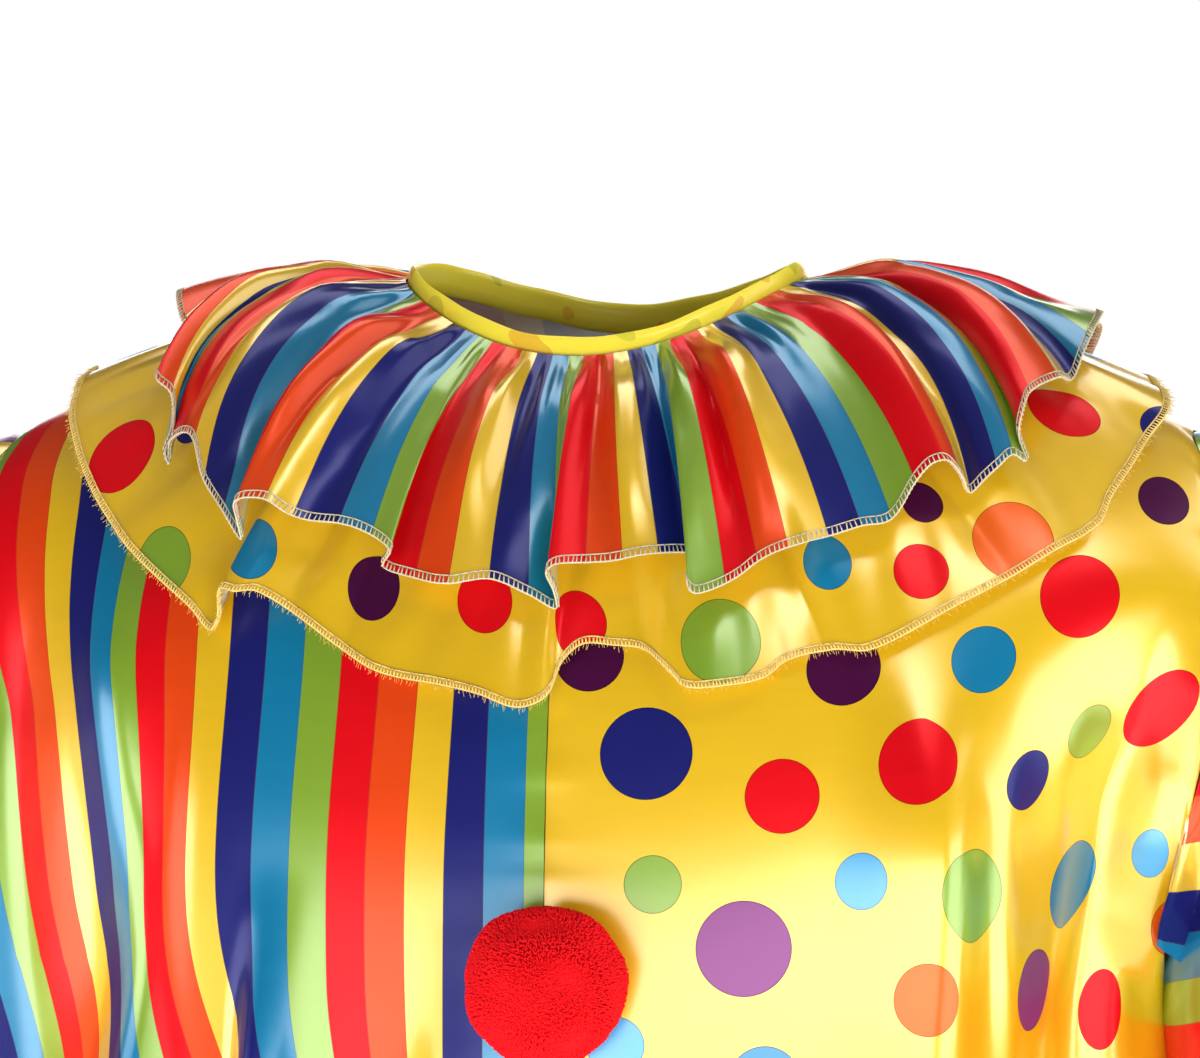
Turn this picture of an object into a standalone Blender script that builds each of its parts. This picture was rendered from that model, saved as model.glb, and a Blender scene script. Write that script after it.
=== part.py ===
"""Clown costume: a loose satin jumpsuit with a two-tier ruffled collar and a pompom, in its worn form.

Blender 4.5. Metres, +Z up. The front faces -Y and the wearer's left arm is at +X. The origin is the
middle of the neck opening at the height of the neck's side points, where the shoulders carry the suit.
Every piece of cloth is a closed wall. Quarter panels are worked out once, in a quadrant whose x runs
from the centre seam to the side and whose y runs from the side seams to the centre, and are then
placed by a side sign (+1 wearer's left) and a face sign (-1 front).
"""
import math

import bmesh
import bpy
from mathutils import Vector

LEFT, RIGHT = 1, -1
FRONT, BACK = -1, 1

WALL = 0.0015                 # thickness of a body or sleeve panel
RUFFLE_WALL = 0.0012          # thickness of a ruffle tier
BAND_WALL = 0.0018            # thickness of the folded neck binding
SEAM = 0.0003                 # gap kept between neighbouring pieces
LAYER_GAP = 0.0004            # gap kept between layers of cloth that lie on each other

NECK_HALF_WIDTH = 0.069       # outside of the neck binding
NECK_HALF_DEPTH = 0.065
BAND_BELOW = 0.002            # the binding's reach below and above the neckline
BAND_ABOVE = 0.0105

CHEST_Z = -0.230              # underarm level, where the yoke meets the straight body
CROTCH_Z = -0.740
CHEST_FRONT = 0.130           # half-depths of the body at the underarm
CHEST_BACK = 0.112
PLAN_POWER = 2.2              # squareness of the horizontal sections
PROFILE_POWER = {FRONT: 2.0, BACK: 2.8}     # squareness of the shoulder's side profile
ARM_ROOT_HALF = {LEFT: 0.262, RIGHT: 0.272}     # half-width of the yoke's sections, arm root included

PANEL_WIDTH = 0.27            # cloth from the centre seam to the side seam
PANEL_COLUMNS = 9
NECK_COLUMNS = 4              # of the panel's columns, those that end at the neckline
YOKE_ROWS = 8
BAND_STEPS = 36
TIER_COLUMNS = 72
TIER_LENGTHS = ("right_back", "right_front", "left_front", "left_back")   # strip lengths of a tier, in order

POMPOM_RADIUS = 0.0275
POMPOM_DEPTH = 0.0225         # half-depth, a little flattened on the chest
POMPOM_Z = -0.232
POMPOM_RINGS = 8
POMPOM_SEGMENTS = 14


def table(header, *rows):
    """Rows of numbers as dictionaries with the header's column names."""
    names = header.split()
    return [dict(zip(names, row)) for row in rows]


# Height of the shoulder ridge at a distance from the centre.
SHOULDER = table(
    "x      z",
    (0.000, 0.0060),
    (0.069, 0.0000),
    (0.105, -0.0100),
    (0.150, -0.0265),
    (0.194, -0.0450),
    (0.240, -0.0660),
)

# Distance of the armhole seam from the centre, by its angle from the shoulder tip to the underarm.
ARMHOLE = {
    LEFT: table(
        "turn x",
        (0, 0.202),
        (30, 0.213),
        (60, 0.213),
        (78, 0.203),
        (90, 0.194),
    ),
    RIGHT: table(
        "turn x",
        (0, 0.206),
        (30, 0.222),
        (60, 0.232),
        (78, 0.231),
        (90, 0.227),
    ),
}

# Sections of the body and legs: outer half-widths, inseam distance, half-depths, and the angle that the
# inner end of a quarter section has turned from the centre seam (0) to the inseam (90).
BODY = table(
    "z       left   right  inner  front  back   inner_turn",
    (CHEST_Z, 0.194, 0.227, 0.000, CHEST_FRONT, CHEST_BACK, 0),
    (-0.275, 0.197, 0.228, 0.000, 0.131, 0.113, 0),
    (-0.330, 0.200, 0.225, 0.000, 0.131, 0.112, 0),
    (-0.390, 0.198, 0.218, 0.000, 0.130, 0.110, 0),
    (-0.450, 0.197, 0.211, 0.000, 0.129, 0.112, 0),
    (-0.510, 0.202, 0.210, 0.000, 0.129, 0.122, 0),
    (-0.560, 0.209, 0.213, 0.000, 0.129, 0.131, 0),
    (-0.610, 0.215, 0.217, 0.000, 0.129, 0.136, 25),
    (-0.655, 0.219, 0.220, 0.000, 0.128, 0.136, 46),
    (-0.695, 0.221, 0.222, 0.000, 0.127, 0.134, 65),
    (-0.722, 0.222, 0.223, 0.000, 0.126, 0.131, 79),
    (CROTCH_Z, 0.223, 0.224, 0.000, 0.125, 0.129, 90),
    (-0.775, 0.225, 0.226, 0.004, 0.124, 0.126, 90),
    (-0.850, 0.229, 0.230, 0.010, 0.121, 0.122, 90),
    (-0.950, 0.234, 0.235, 0.015, 0.117, 0.118, 90),
    (-1.060, 0.239, 0.240, 0.020, 0.113, 0.114, 90),
    (-1.170, 0.244, 0.245, 0.024, 0.112, 0.112, 90),
    (-1.270, 0.250, 0.251, 0.027, 0.113, 0.113, 90),
    (-1.350, 0.255, 0.256, 0.028, 0.115, 0.115, 90),
    (-1.420, 0.259, 0.260, 0.028, 0.117, 0.117, 90),
)

# The largest folds: across is the place from centre (0) to side (1), lean its drift from top to bottom.
# Height is the rise of a ridge, or the fall of a trough where it is negative.
FOLDS = {
    (RIGHT, FRONT): table(
        "across top     bottom  half_width height  lean",
        (0.66, -0.070, -0.470, 0.085, -0.014, 0.04),
        (0.84, -0.090, -0.420, 0.080, 0.007, 0.00),
        (0.45, -0.560, -1.380, 0.110, 0.010, 0.06),
        (0.74, -0.620, -1.300, 0.090, -0.010, -0.05),
        (0.24, -0.700, -1.430, 0.090, -0.008, 0.05),
    ),
    (LEFT, FRONT): table(
        "across top     bottom  half_width height  lean",
        (0.70, -0.190, -0.520, 0.080, -0.009, 0.05),
        (0.86, -0.100, -0.330, 0.070, 0.006, 0.02),
        (0.40, -0.600, -1.400, 0.110, 0.010, 0.05),
        (0.70, -0.560, -1.250, 0.090, -0.011, -0.06),
        (0.22, -0.760, -1.430, 0.090, -0.008, 0.04),
    ),
    (RIGHT, BACK): table(
        "across top     bottom  half_width height  lean",
        (0.62, -0.100, -0.520, 0.100, -0.010, 0.02),
        (0.30, -0.330, -0.680, 0.090, 0.009, -0.04),
        (0.55, -0.680, -1.400, 0.110, -0.010, 0.05),
        (0.80, -0.720, -1.300, 0.090, 0.008, 0.00),
    ),
    (LEFT, BACK): table(
        "across top     bottom  half_width height  lean",
        (0.60, -0.120, -0.500, 0.100, -0.011, 0.03),
        (0.34, -0.360, -0.700, 0.090, 0.008, -0.05),
        (0.50, -0.700, -1.420, 0.110, -0.009, 0.04),
        (0.78, -0.740, -1.280, 0.090, 0.009, 0.02),
    ),
}

# Sleeve sections, fanned about the underarm and then slid down the arm: turn of the section from
# upright, slide down the arm, stand-off from the armhole, width from crown to underside, half-depth,
# and the share of the armhole's own spacing that the section's points keep.
ARM_LEAN = {LEFT: 15.0, RIGHT: 22.0}     # degrees of the sleeve from straight down
SLEEVE = table(
    "turn slide  out    width  half_depth follow",
    (18, 0.001, 0.005, 0.168, 0.064, 0.85),
    (37, 0.004, 0.006, 0.158, 0.071, 0.60),
    (55, 0.012, 0.007, 0.153, 0.076, 0.30),
    (90, 0.055, 0.008, 0.156, 0.079, 0.00),
    (90, 0.110, 0.008, 0.150, 0.076, 0.00),
    (90, 0.165, 0.008, 0.154, 0.077, 0.00),
    (90, 0.220, 0.008, 0.143, 0.072, 0.00),
    (90, 0.280, 0.008, 0.150, 0.076, 0.00),
    (90, 0.345, 0.008, 0.152, 0.077, 0.00),
    (90, 0.405, 0.008, 0.157, 0.079, 0.00),
)

# Ruffle tiers: a flute to a row. Angle is from the centre front towards the wearer's left, lift is how
# far the crest stands off its bed at the hem, and drop how much further than its neighbours it hangs.
LOWER_REACH = 0.134
LOWER_LIFT = 0.006            # least stand-off at the hem
LOWER_FLUTES = table(
    "angle half_width lift   drop",
    (-168, 16, 0.014, 0.003),
    (-138, 18, 0.013, 0.002),
    (-108, 17, 0.014, 0.003),
    (-72, 20, 0.013, 0.004),
    (-27, 25, 0.014, 0.006),
    (12, 14, 0.005, -0.008),
    (42, 22, 0.013, 0.002),
    (78, 18, 0.010, 0.006),
    (108, 16, 0.013, 0.003),
    (137, 17, 0.014, 0.002),
    (167, 16, 0.013, 0.003),
)
UPPER_REACH = 0.096
UPPER_LIFT = 0.0045           # least stand-off from the lower tier at the hem
UPPER_FLUTES = table(
    "angle half_width lift   drop",
    (-170, 11, 0.017, 0.003),
    (-147, 12, 0.015, 0.002),
    (-124, 12, 0.018, 0.003),
    (-101, 12, 0.015, 0.002),
    (-80, 11, 0.013, 0.003),
    (-60, 10, 0.015, 0.002),
    (-38, 13, 0.017, 0.003),
    (-9, 15, 0.019, 0.009),
    (14, 9, 0.010, -0.004),
    (36, 14, 0.018, 0.003),
    (60, 10, 0.015, 0.004),
    (79, 11, 0.013, 0.003),
    (101, 12, 0.016, 0.002),
    (124, 12, 0.017, 0.003),
    (147, 12, 0.015, 0.002),
    (170, 11, 0.016, 0.003),
)
LOWER_RISE = 1.6              # how soon a tier stands off, and the power by which its flutes open
LOWER_OPENING = 1.1
UPPER_RISE = 1.5
UPPER_OPENING = 0.9
LOWER_ROWS = (0.0, 0.14, 0.36, 0.60, 0.82, 1.0)
UPPER_ROWS = (0.0, 0.20, 0.48, 0.76, 1.0)
DRAPE_STEP = 0.004            # arc length between the points of a drape profile
DRAPE_LENGTH = 0.168

YELLOW = (0.73, 0.49, 0.03, 1.0)
RED = (0.84, 0.012, 0.018, 1.0)
STRIPED = (0.55, 0.10, 0.05, 1.0)


def read(rows, key, at, column):
    """Smooth value of a table's column: a cubic through the rows, with flat ends."""
    if (rows[0][key] < rows[-1][key]) != (rows[0][key] < at) and rows[0][key] != at:
        return rows[0][column]
    for low, high in zip(range(len(rows) - 1), range(1, len(rows))):
        start, end = rows[low][key], rows[high][key]
        if (at - start) * (at - end) <= 0:
            break
    else:
        return rows[-1][column]
    part = (at - start) / (end - start)

    def slope(index):
        if index in (0, len(rows) - 1):
            return 0.0
        before, after = rows[index - 1], rows[index + 1]
        return (after[column] - before[column]) / (after[key] - before[key])

    span = end - start
    square, cube = part * part, part * part * part
    return ((2 * cube - 3 * square + 1) * rows[low][column]
            + (cube - 2 * square + part) * span * slope(low)
            + (3 * square - 2 * cube) * rows[high][column]
            + (cube - square) * span * slope(high))


def bump(distance):
    """A smooth hill of height 1 at 0 that ends at distance 1."""
    return 0.5 + 0.5 * math.cos(math.pi * distance) if abs(distance) < 1 else 0.0


# ---------------------------------------------------------------- the body's surface

def yoke_half(side, turn):
    """Half-width of the yoke's section at an angle down from the shoulder ridge."""
    chest = BODY[0]["left" if side == LEFT else "right"]
    return chest + (ARM_ROOT_HALF[side] - chest) * math.sqrt(max(0.0, math.cos(turn)))


def yoke_point(side, face, x, turn):
    """Point of the yoke above the underarm, at x and at an angle down from the shoulder ridge."""
    depth = CHEST_FRONT if face == FRONT else CHEST_BACK
    power = 2.0 / PROFILE_POWER[face]
    fullness = max(0.0, 1 - (x / yoke_half(side, turn)) ** PLAN_POWER) ** (1 / PLAN_POWER)
    height = read(SHOULDER, "x", x, "z") - CHEST_Z
    y = depth * max(0.0, math.sin(turn)) ** power * fullness
    z = CHEST_Z + height * max(0.0, math.cos(turn)) ** power
    return Vector((x, y, z))


def turn_at(side, face, x, y):
    """Angle at which the yoke stands y off the ridge at x, or None past its fullest point."""
    low, high = 0.0, None
    for step in range(1, 31):
        turn = math.radians(3 * step)
        if yoke_point(side, face, x, turn).y >= y:
            high = turn
            break
        low = turn
    if high is None:
        return None
    for _ in range(22):
        middle = (low + high) / 2
        if yoke_point(side, face, x, middle).y < y:
            low = middle
        else:
            high = middle
    return (low + high) / 2


def body_ring_point(side, face, z, across):
    """Point of the body or leg below the underarm, across from the inner seam (0) to the side (1)."""
    outer = read(BODY, "z", z, "left" if side == LEFT else "right")
    inner = read(BODY, "z", z, "inner")
    depth = read(BODY, "z", z, "front" if face == FRONT else "back")
    inner_turn = math.radians(read(BODY, "z", z, "inner_turn"))
    power = 2 / PLAN_POWER
    turned_in = math.sin(inner_turn) ** power
    half = (outer - inner) / (1 + turned_in)
    centre = inner + half * turned_in
    angle = -inner_turn + (math.pi / 2 + inner_turn) * across
    x = centre + half * math.copysign(abs(math.sin(angle)) ** power, math.sin(angle))
    y = depth * abs(math.cos(angle)) ** power
    return Vector((x, y, z))


def neck_x_y(angle):
    """Plan point of a panel's neck edge, set out so that the middle of each chord clears the binding."""
    chord = math.cos(math.pi / 4 / NECK_COLUMNS)
    return ((NECK_HALF_WIDTH + SEAM) / chord * math.sin(angle),
            (NECK_HALF_DEPTH + SEAM) / chord * math.cos(angle))


def row_turn(face, angle):
    """Angle of the shoulder profile at which its height is that of a round one at the given angle."""
    return math.acos(max(0.0, math.cos(angle)) ** (PROFILE_POWER[face] / 2))


def yoke_grid(side, face):
    """Rows from the neckline and shoulder seam down to the row above the underarm."""
    tip = ARMHOLE[side][0]["x"]
    power = 2 / PROFILE_POWER[face]
    tops = []
    for column in range(PANEL_COLUMNS + 1):
        if column <= NECK_COLUMNS:
            x, y = neck_x_y(math.pi / 2 * column / NECK_COLUMNS)
            top = math.acos(math.cos(turn_at(side, face, x, y)) ** power) if y > 1e-6 else 0.0
        else:
            share = (column - NECK_COLUMNS) / (PANEL_COLUMNS - NECK_COLUMNS)
            neck_side = neck_x_y(math.pi / 2)[0]
            x = neck_side + (tip - neck_side) * share
            top = 0.0
        tops.append((x / tip, top))
    rows = []
    for row in range(YOKE_ROWS):
        down = row / YOKE_ROWS
        edge = read(ARMHOLE[side], "turn", 90 * down, "x")
        line = []
        for column, (share, top) in enumerate(tops):
            low = math.sin(math.pi / 2 * column / PANEL_COLUMNS) ** (2 / PLAN_POWER)
            x = edge * (share + (low - share) * down)
            line.append(yoke_point(side, face, x, row_turn(face, top + (math.pi / 2 - top) * down)))
        rows.append(line)
    return rows


def panel_grid(side, face):
    """The panel's outer points in the quadrant, from the top row to the ankle hem."""
    rows = yoke_grid(side, face)
    for level in BODY:
        line = [body_ring_point(side, face, level["z"], column / PANEL_COLUMNS)
                for column in range(PANEL_COLUMNS + 1)]
        rows.append(line)
    return rows


def grid_normal(grid, row, column, closed=False):
    """Unit normal of a grid of points by central differences, with the grid's own handedness."""
    last_row, count = len(grid) - 1, len(grid[0])
    if closed:
        before, after = grid[row][column - 1], grid[row][(column + 1) % count]
    else:
        before, after = grid[row][max(column - 1, 0)], grid[row][min(column + 1, count - 1)]
    above, below = grid[max(row - 1, 0)][column], grid[min(row + 1, last_row)][column]
    return (after - before).cross(below - above).normalized()


def fold_height(folds, across, z):
    """Rise of the cloth from the folds of a panel at a place on it."""
    height = 0.0
    for fold in folds:
        middle, half = (fold["top"] + fold["bottom"]) / 2, (fold["top"] - fold["bottom"]) / 2
        along = (middle - z) / half
        off = (across - fold["across"] - fold["lean"] * along) * PANEL_WIDTH
        height += fold["height"] * bump(along) * bump(off / fold["half_width"])
    return height


def folded_panel(side, face):
    """Panel grid with its largest folds, still in the quadrant, and its outward normals."""
    grid = panel_grid(side, face)
    folds = FOLDS[side, face]
    base = [[grid_normal(grid, row, column) for column in range(PANEL_COLUMNS + 1)]
            for row in range(len(grid))]
    raised = []
    for row, line in enumerate(grid):
        fade_top = min(1.0, row / 3)
        new = []
        for column, point in enumerate(line):
            across = column / PANEL_COLUMNS
            fade = min(1.0, across / 0.12, (1 - across) / 0.12) * fade_top
            new.append(point + base[row][column] * fold_height(folds, across, point.z) * fade)
        raised.append(new)
    return raised


def in_plane(normal, axis):
    """The normal with one component taken away, so that a seam edge stays in its plane."""
    flat = normal.copy()
    flat[axis] = 0.0
    return flat.normalized()


def panel_walls(side, face):
    """Outer and inner grids of a panel, placed in the suit."""
    grid = folded_panel(side, face)
    underarm = YOKE_ROWS
    crotch = YOKE_ROWS + [level["z"] for level in BODY].index(CROTCH_Z)
    outer, inner = [], []
    for row, line in enumerate(grid):
        outer_line, inner_line = [], []
        for column, point in enumerate(line):
            inward = -WALL * grid_normal(grid, row, column)
            if row == 0 and column <= NECK_COLUMNS:
                inward = Vector((0, 0, -WALL))
            elif row == 0:
                inward = WALL * in_plane(inward, 1)
            elif column == 0 and row < crotch:
                inward = WALL * in_plane(inward, 0)
            elif column == 0 and row == crotch:
                inward = Vector((WALL, 0, WALL))
            elif column == 0 or (column == PANEL_COLUMNS and row >= underarm):
                inward = WALL * in_plane(inward, 1)
            elif column == PANEL_COLUMNS and inward.x > 0:
                inward = WALL * in_plane(inward, 0)
            moved = point + Vector((SEAM / 2, SEAM / 2, 0))
            outer_line.append(place(moved, side, face))
            inner_line.append(place(moved + inward, side, face))
        outer.append(outer_line)
        inner.append(inner_line)
    return outer, inner


def place(point, side, face):
    """A quadrant point in the suit."""
    return Vector((point.x * side, point.y * face, point.z))


# ---------------------------------------------------------------- sleeves

def armhole_loop(side):
    """Points just outside the armhole seam: crown, front, underarm, back."""
    half = {}
    for face in (FRONT, BACK):
        edge = [line[PANEL_COLUMNS] for line in folded_panel(side, face)[:YOKE_ROWS + 1]]
        half[face] = [Vector((p.x + SEAM * 1.5, face * (p.y + SEAM / 2), p.z)) for p in edge]
    crown, under = half[FRONT][0].copy(), half[FRONT][-1].copy()
    crown.y = under.y = 0.0
    return [crown] + half[FRONT][1:-1] + [under] + half[BACK][-2:0:-1]


def sleeve_walls(side):
    """Outer and inner grids of a sleeve, from the armhole to the wrist."""
    loop = armhole_loop(side)
    count = len(loop)
    lean = math.radians(ARM_LEAN[side])
    down = Vector((math.sin(lean), 0, -math.cos(lean)))
    crown, under = loop[0], loop[count // 2]
    rings = [loop]
    for section in SLEEVE:
        turn = min(math.radians(section["turn"]), math.pi / 2 - lean)
        up = Vector((math.sin(turn), 0, math.cos(turn)))
        foot = under + down * section["slide"] + Vector((section["out"], 0, 0))
        ring = []
        for index, start in enumerate(loop):
            angle = 2 * math.pi * index / count
            even = 0.5 + 0.5 * math.cos(angle)
            own = (start.z - under.z) / (crown.z - under.z)
            share = min(1.0, max(0.0, even + (own - even) * section["follow"]))
            swell = math.copysign(2 * math.sqrt(share * (1 - share)), -math.sin(angle))
            ring.append(foot + up * section["width"] * share
                        + Vector((0, section["half_depth"] * swell, 0)))
        rings.append(ring)
    outer, inner = [], []
    for row, ring in enumerate(rings):
        inner_ring = []
        for column, point in enumerate(ring):
            outward = grid_normal(rings, row, column, closed=True)
            if row == 0:
                along = ring[(column + 1) % count] - ring[column - 1]
                outward = in_plane(along.cross(Vector((1, 0, 0))), 0)
                outward *= math.copysign(1, outward.dot(point - (ring[0] + under) / 2))
            elif outward.dot(point - sum(ring, Vector()) / count) < 0:
                outward.negate()
            inner_ring.append(point - outward * WALL)
        outer.append([place(point, side, 1) for point in ring])
        inner.append([place(point, side, 1) for point in inner_ring])
    return outer, inner


# ---------------------------------------------------------------- collar

def neck_edge(angle):
    """Plan point and height of the neckline at an angle from the centre front, all round."""
    side = LEFT if math.sin(angle) >= 0 else RIGHT
    face = FRONT if math.cos(angle) >= 0 else BACK
    x, y = abs(math.sin(angle)) * (NECK_HALF_WIDTH + SEAM), abs(math.cos(angle)) * (NECK_HALF_DEPTH + SEAM)
    turn = turn_at(side, face, x, y) if y > 1e-5 else 0.0
    return Vector((side * x, face * y, yoke_point(side, face, x, turn).z))


def body_height(x, y):
    """Height of the yoke over a plan point, or None beyond its fullest line."""
    side, face = (LEFT if x >= 0 else RIGHT), (FRONT if y <= 0 else BACK)
    turn = turn_at(side, face, abs(x), abs(y)) if abs(y) > 1e-5 else 0.0
    return None if turn is None else yoke_point(side, face, abs(x), turn).z


def drape_profile(angle):
    """Points at equal arc lengths from the neckline outwards over the yoke, falling straight at the brow."""
    start = neck_edge(angle)
    heading = Vector((start.x, start.y, 0)).normalized()
    reach, z = Vector((start.x, start.y, 0)).length, start.z
    points = [start]
    for _ in range(int(DRAPE_LENGTH / DRAPE_STEP)):
        low, high = 0.0, DRAPE_STEP
        for _ in range(14):
            middle = (low + high) / 2
            spot = heading * (reach + middle)
            height = body_height(spot.x, spot.y)
            if height is None or math.hypot(middle, height - z) > DRAPE_STEP:
                high = middle
            else:
                low = middle
        reach += low
        z -= math.sqrt(max(0.0, DRAPE_STEP ** 2 - low ** 2))
        points.append(heading * reach + Vector((0, 0, z)))
    return points


def on_profile(points, length):
    """Point of a drape profile at an arc length."""
    place_in = min(length / DRAPE_STEP, len(points) - 1.001)
    index = int(place_in)
    return points[index].lerp(points[index + 1], place_in - index)


def flute(flutes, angle, column):
    """Sum of a tier's flutes at an angle in degrees."""
    return sum(row[column] * bump((angle - row["angle"]) / row["half_width"]) for row in flutes)


def rise(share, rate):
    """Part of a tier's least stand-off that it has at a share of its reach."""
    return math.sin(math.pi / 2 * min(1.0, share * rate))


def lower_lift(angle, length):
    """Stand-off of the lower tier from the body at an arc length from the neck."""
    share = length / LOWER_REACH
    return RUFFLE_WALL + LAYER_GAP + LOWER_LIFT * rise(share, LOWER_RISE) \
        + flute(LOWER_FLUTES, angle, "lift") * share ** LOWER_OPENING


def upper_lift(angle, length):
    """Stand-off of the upper tier from the body, over the lower tier."""
    share = length / UPPER_REACH
    return lower_lift(angle, length) + RUFFLE_WALL + LAYER_GAP + UPPER_LIFT * rise(share, UPPER_RISE) \
        + flute(UPPER_FLUTES, angle, "lift") * share ** UPPER_OPENING


def tier_walls(reach, flutes, lift, rows):
    """Outer and inner grids of a whole ruffle tier, from the centre back round to the centre back."""
    angles = [-180 + 360 * column / TIER_COLUMNS for column in range(TIER_COLUMNS + 1)]
    profiles = [drape_profile(math.radians(angle)) for angle in angles]
    lengths = [[row * (reach + flute(flutes, angle, "drop")) for angle in angles] for row in rows]
    bed = [[on_profile(profile, length) for profile, length in zip(profiles, line)] for line in lengths]
    outer = []
    for row, line in enumerate(bed):
        new = []
        for column, point in enumerate(line):
            normal = Vector((0, 0, 1)) if row == 0 else grid_normal(bed, row, column).normalized()
            if normal.z < 0 and normal.dot(Vector((point.x, point.y, 0))) < 0:
                normal.negate()
            new.append(point + normal * lift(angles[column], lengths[row][column]))
        outer.append(new)
    inner = []
    for row, line in enumerate(outer):
        new = []
        for column, point in enumerate(line):
            normal = Vector((0, 0, 1)) if row == 0 else grid_normal(outer, row, column)
            if column in (0, TIER_COLUMNS):
                normal = in_plane(normal, 0)
            new.append(point - normal * RUFFLE_WALL)
        inner.append(new)
    return outer, inner


def tier(name, walls, finish):
    """The lengths of strip that a tier is pieced from, each end drawn in by half a seam."""
    span = TIER_COLUMNS // len(TIER_LENGTHS)
    for number, length in enumerate(TIER_LENGTHS):
        skins = [[line[number * span:(number + 1) * span + 1] for line in grid] for grid in walls]
        for line in skins[0] + skins[1]:
            start, end = (line[1] - line[0]).normalized(), (line[-2] - line[-1]).normalized()
            line[0], line[-1] = line[0] + start * SEAM / 2, line[-1] + end * SEAM / 2
        wall(name + "_" + length, *skins, finish)


def band_walls():
    """Outer and inner grids of the neck binding, a standing strip open at the centre back."""
    ends = math.pi - 0.003
    outer, inner = [], []
    for height in (BAND_ABOVE, -BAND_BELOW):
        outer_line, inner_line = [], []
        for step in range(BAND_STEPS + 1):
            angle = -ends + 2 * ends * step / BAND_STEPS
            z = neck_edge(angle).z + height
            outer_line.append(Vector((math.sin(angle) * NECK_HALF_WIDTH,
                                      -math.cos(angle) * NECK_HALF_DEPTH, z)))
            inner_line.append(Vector((math.sin(angle) * (NECK_HALF_WIDTH - BAND_WALL),
                                      -math.cos(angle) * (NECK_HALF_DEPTH - BAND_WALL), z)))
        outer.append(outer_line)
        inner.append(inner_line)
    return outer, inner


# ---------------------------------------------------------------- solids

def material(name, colour, roughness):
    """A Principled material."""
    finish = bpy.data.materials.new(name)
    finish.use_nodes = True
    shader = finish.node_tree.nodes["Principled BSDF"]
    shader.inputs["Base Color"].default_value = colour
    shader.inputs["Roughness"].default_value = roughness
    shader.inputs["Metallic"].default_value = 0.0
    return finish


def link(name, mesh, finish):
    """Add a mesh to the scene as a named piece."""
    mesh.materials.append(finish)
    mesh.shade_smooth()
    mesh.set_sharp_from_angle(angle=math.radians(50))
    piece = bpy.data.objects.new(name, mesh)
    bpy.context.scene.collection.objects.link(piece)
    return piece


def wall(name, outer, inner, finish, closed=False):
    """One closed solid between two grids of points, with a rim along every free edge."""
    rows, columns = len(outer), len(outer[0])
    build = bmesh.new()
    skins = [[[build.verts.new(point) for point in line] for line in grid] for grid in (outer, inner)]
    span = columns if closed else columns - 1
    for front, back in ((0, 1), (1, 0)):
        skin = skins[front]
        for row in range(rows - 1):
            for column in range(span):
                after = (column + 1) % columns
                corners = (skin[row][column], skin[row + 1][column], skin[row + 1][after], skin[row][after])
                build.faces.new(corners if front == 0 else corners[::-1])
    for row in (0, rows - 1):
        for column in range(span):
            after = (column + 1) % columns
            build.faces.new((skins[0][row][column], skins[0][row][after],
                             skins[1][row][after], skins[1][row][column]))
    if not closed:
        for column in (0, columns - 1):
            for row in range(rows - 1):
                build.faces.new((skins[0][row][column], skins[0][row + 1][column],
                                 skins[1][row + 1][column], skins[1][row][column]))
    bmesh.ops.triangulate(build, faces=build.faces[:])
    bmesh.ops.recalc_face_normals(build, faces=build.faces[:])
    mesh = bpy.data.meshes.new(name)
    build.to_mesh(mesh)
    build.free()
    return link(name, mesh, finish)


def pompom(finish):
    """The pompom's reach: a ball a little flattened against the centre-front seam."""
    chest = body_ring_point(LEFT, FRONT, POMPOM_Z, 0.0).y + SEAM / 2
    build = bmesh.new()
    bmesh.ops.create_uvsphere(build, u_segments=POMPOM_SEGMENTS, v_segments=POMPOM_RINGS, radius=1.0)
    centre = Vector((0.0, -(chest + POMPOM_DEPTH + SEAM), POMPOM_Z))
    for vertex in build.verts:
        vertex.co = centre + Vector((vertex.co.x * POMPOM_RADIUS, -vertex.co.z * POMPOM_DEPTH,
                                     vertex.co.y * POMPOM_RADIUS))
    bmesh.ops.recalc_face_normals(build, faces=build.faces[:])
    mesh = bpy.data.meshes.new("pompom")
    build.to_mesh(mesh)
    build.free()
    return link("pompom", mesh, finish)


def main():
    for item in list(bpy.data.objects):
        bpy.data.objects.remove(item, do_unlink=True)
    dotted = material("dotted_satin", YELLOW, 0.35)
    striped = material("striped_satin", STRIPED, 0.35)
    binding = material("binding_satin", YELLOW, 0.35)
    yarn = material("pompom_yarn", RED, 0.9)

    wall("front_striped", *panel_walls(RIGHT, FRONT), striped)
    wall("front_dotted", *panel_walls(LEFT, FRONT), dotted)
    wall("back_striped", *panel_walls(RIGHT, BACK), striped)
    wall("back_dotted", *panel_walls(LEFT, BACK), dotted)
    wall("sleeve_striped", *sleeve_walls(LEFT), striped, closed=True)
    wall("sleeve_dotted", *sleeve_walls(RIGHT), dotted, closed=True)
    tier("ruffle_lower", tier_walls(LOWER_REACH, LOWER_FLUTES, lower_lift, LOWER_ROWS), dotted)
    tier("ruffle_upper", tier_walls(UPPER_REACH, UPPER_FLUTES, upper_lift, UPPER_ROWS), striped)
    wall("neck_binding", *band_walls(), binding)
    pompom(yarn)


main()
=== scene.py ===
"""Looks of the clown costume: satin panels, gathered collar, overlock, neck binding and pompom.

Everything is in metres in the suit's own frame: +Z up, the front faces -Y, the wearer's left arm at +X,
the origin in the middle of the neck opening. Quarter panels are worked out in a quadrant whose x runs
from the centre seam to the side and whose y runs from the side seams to the centre, and are then placed
by a side sign (+1 wearer's left) and a face sign (-1 front). Cloth carries a UV map in metres, u across
the cloth and v up its grain, and every pattern and weave is laid out on it.
"""
import math

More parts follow.
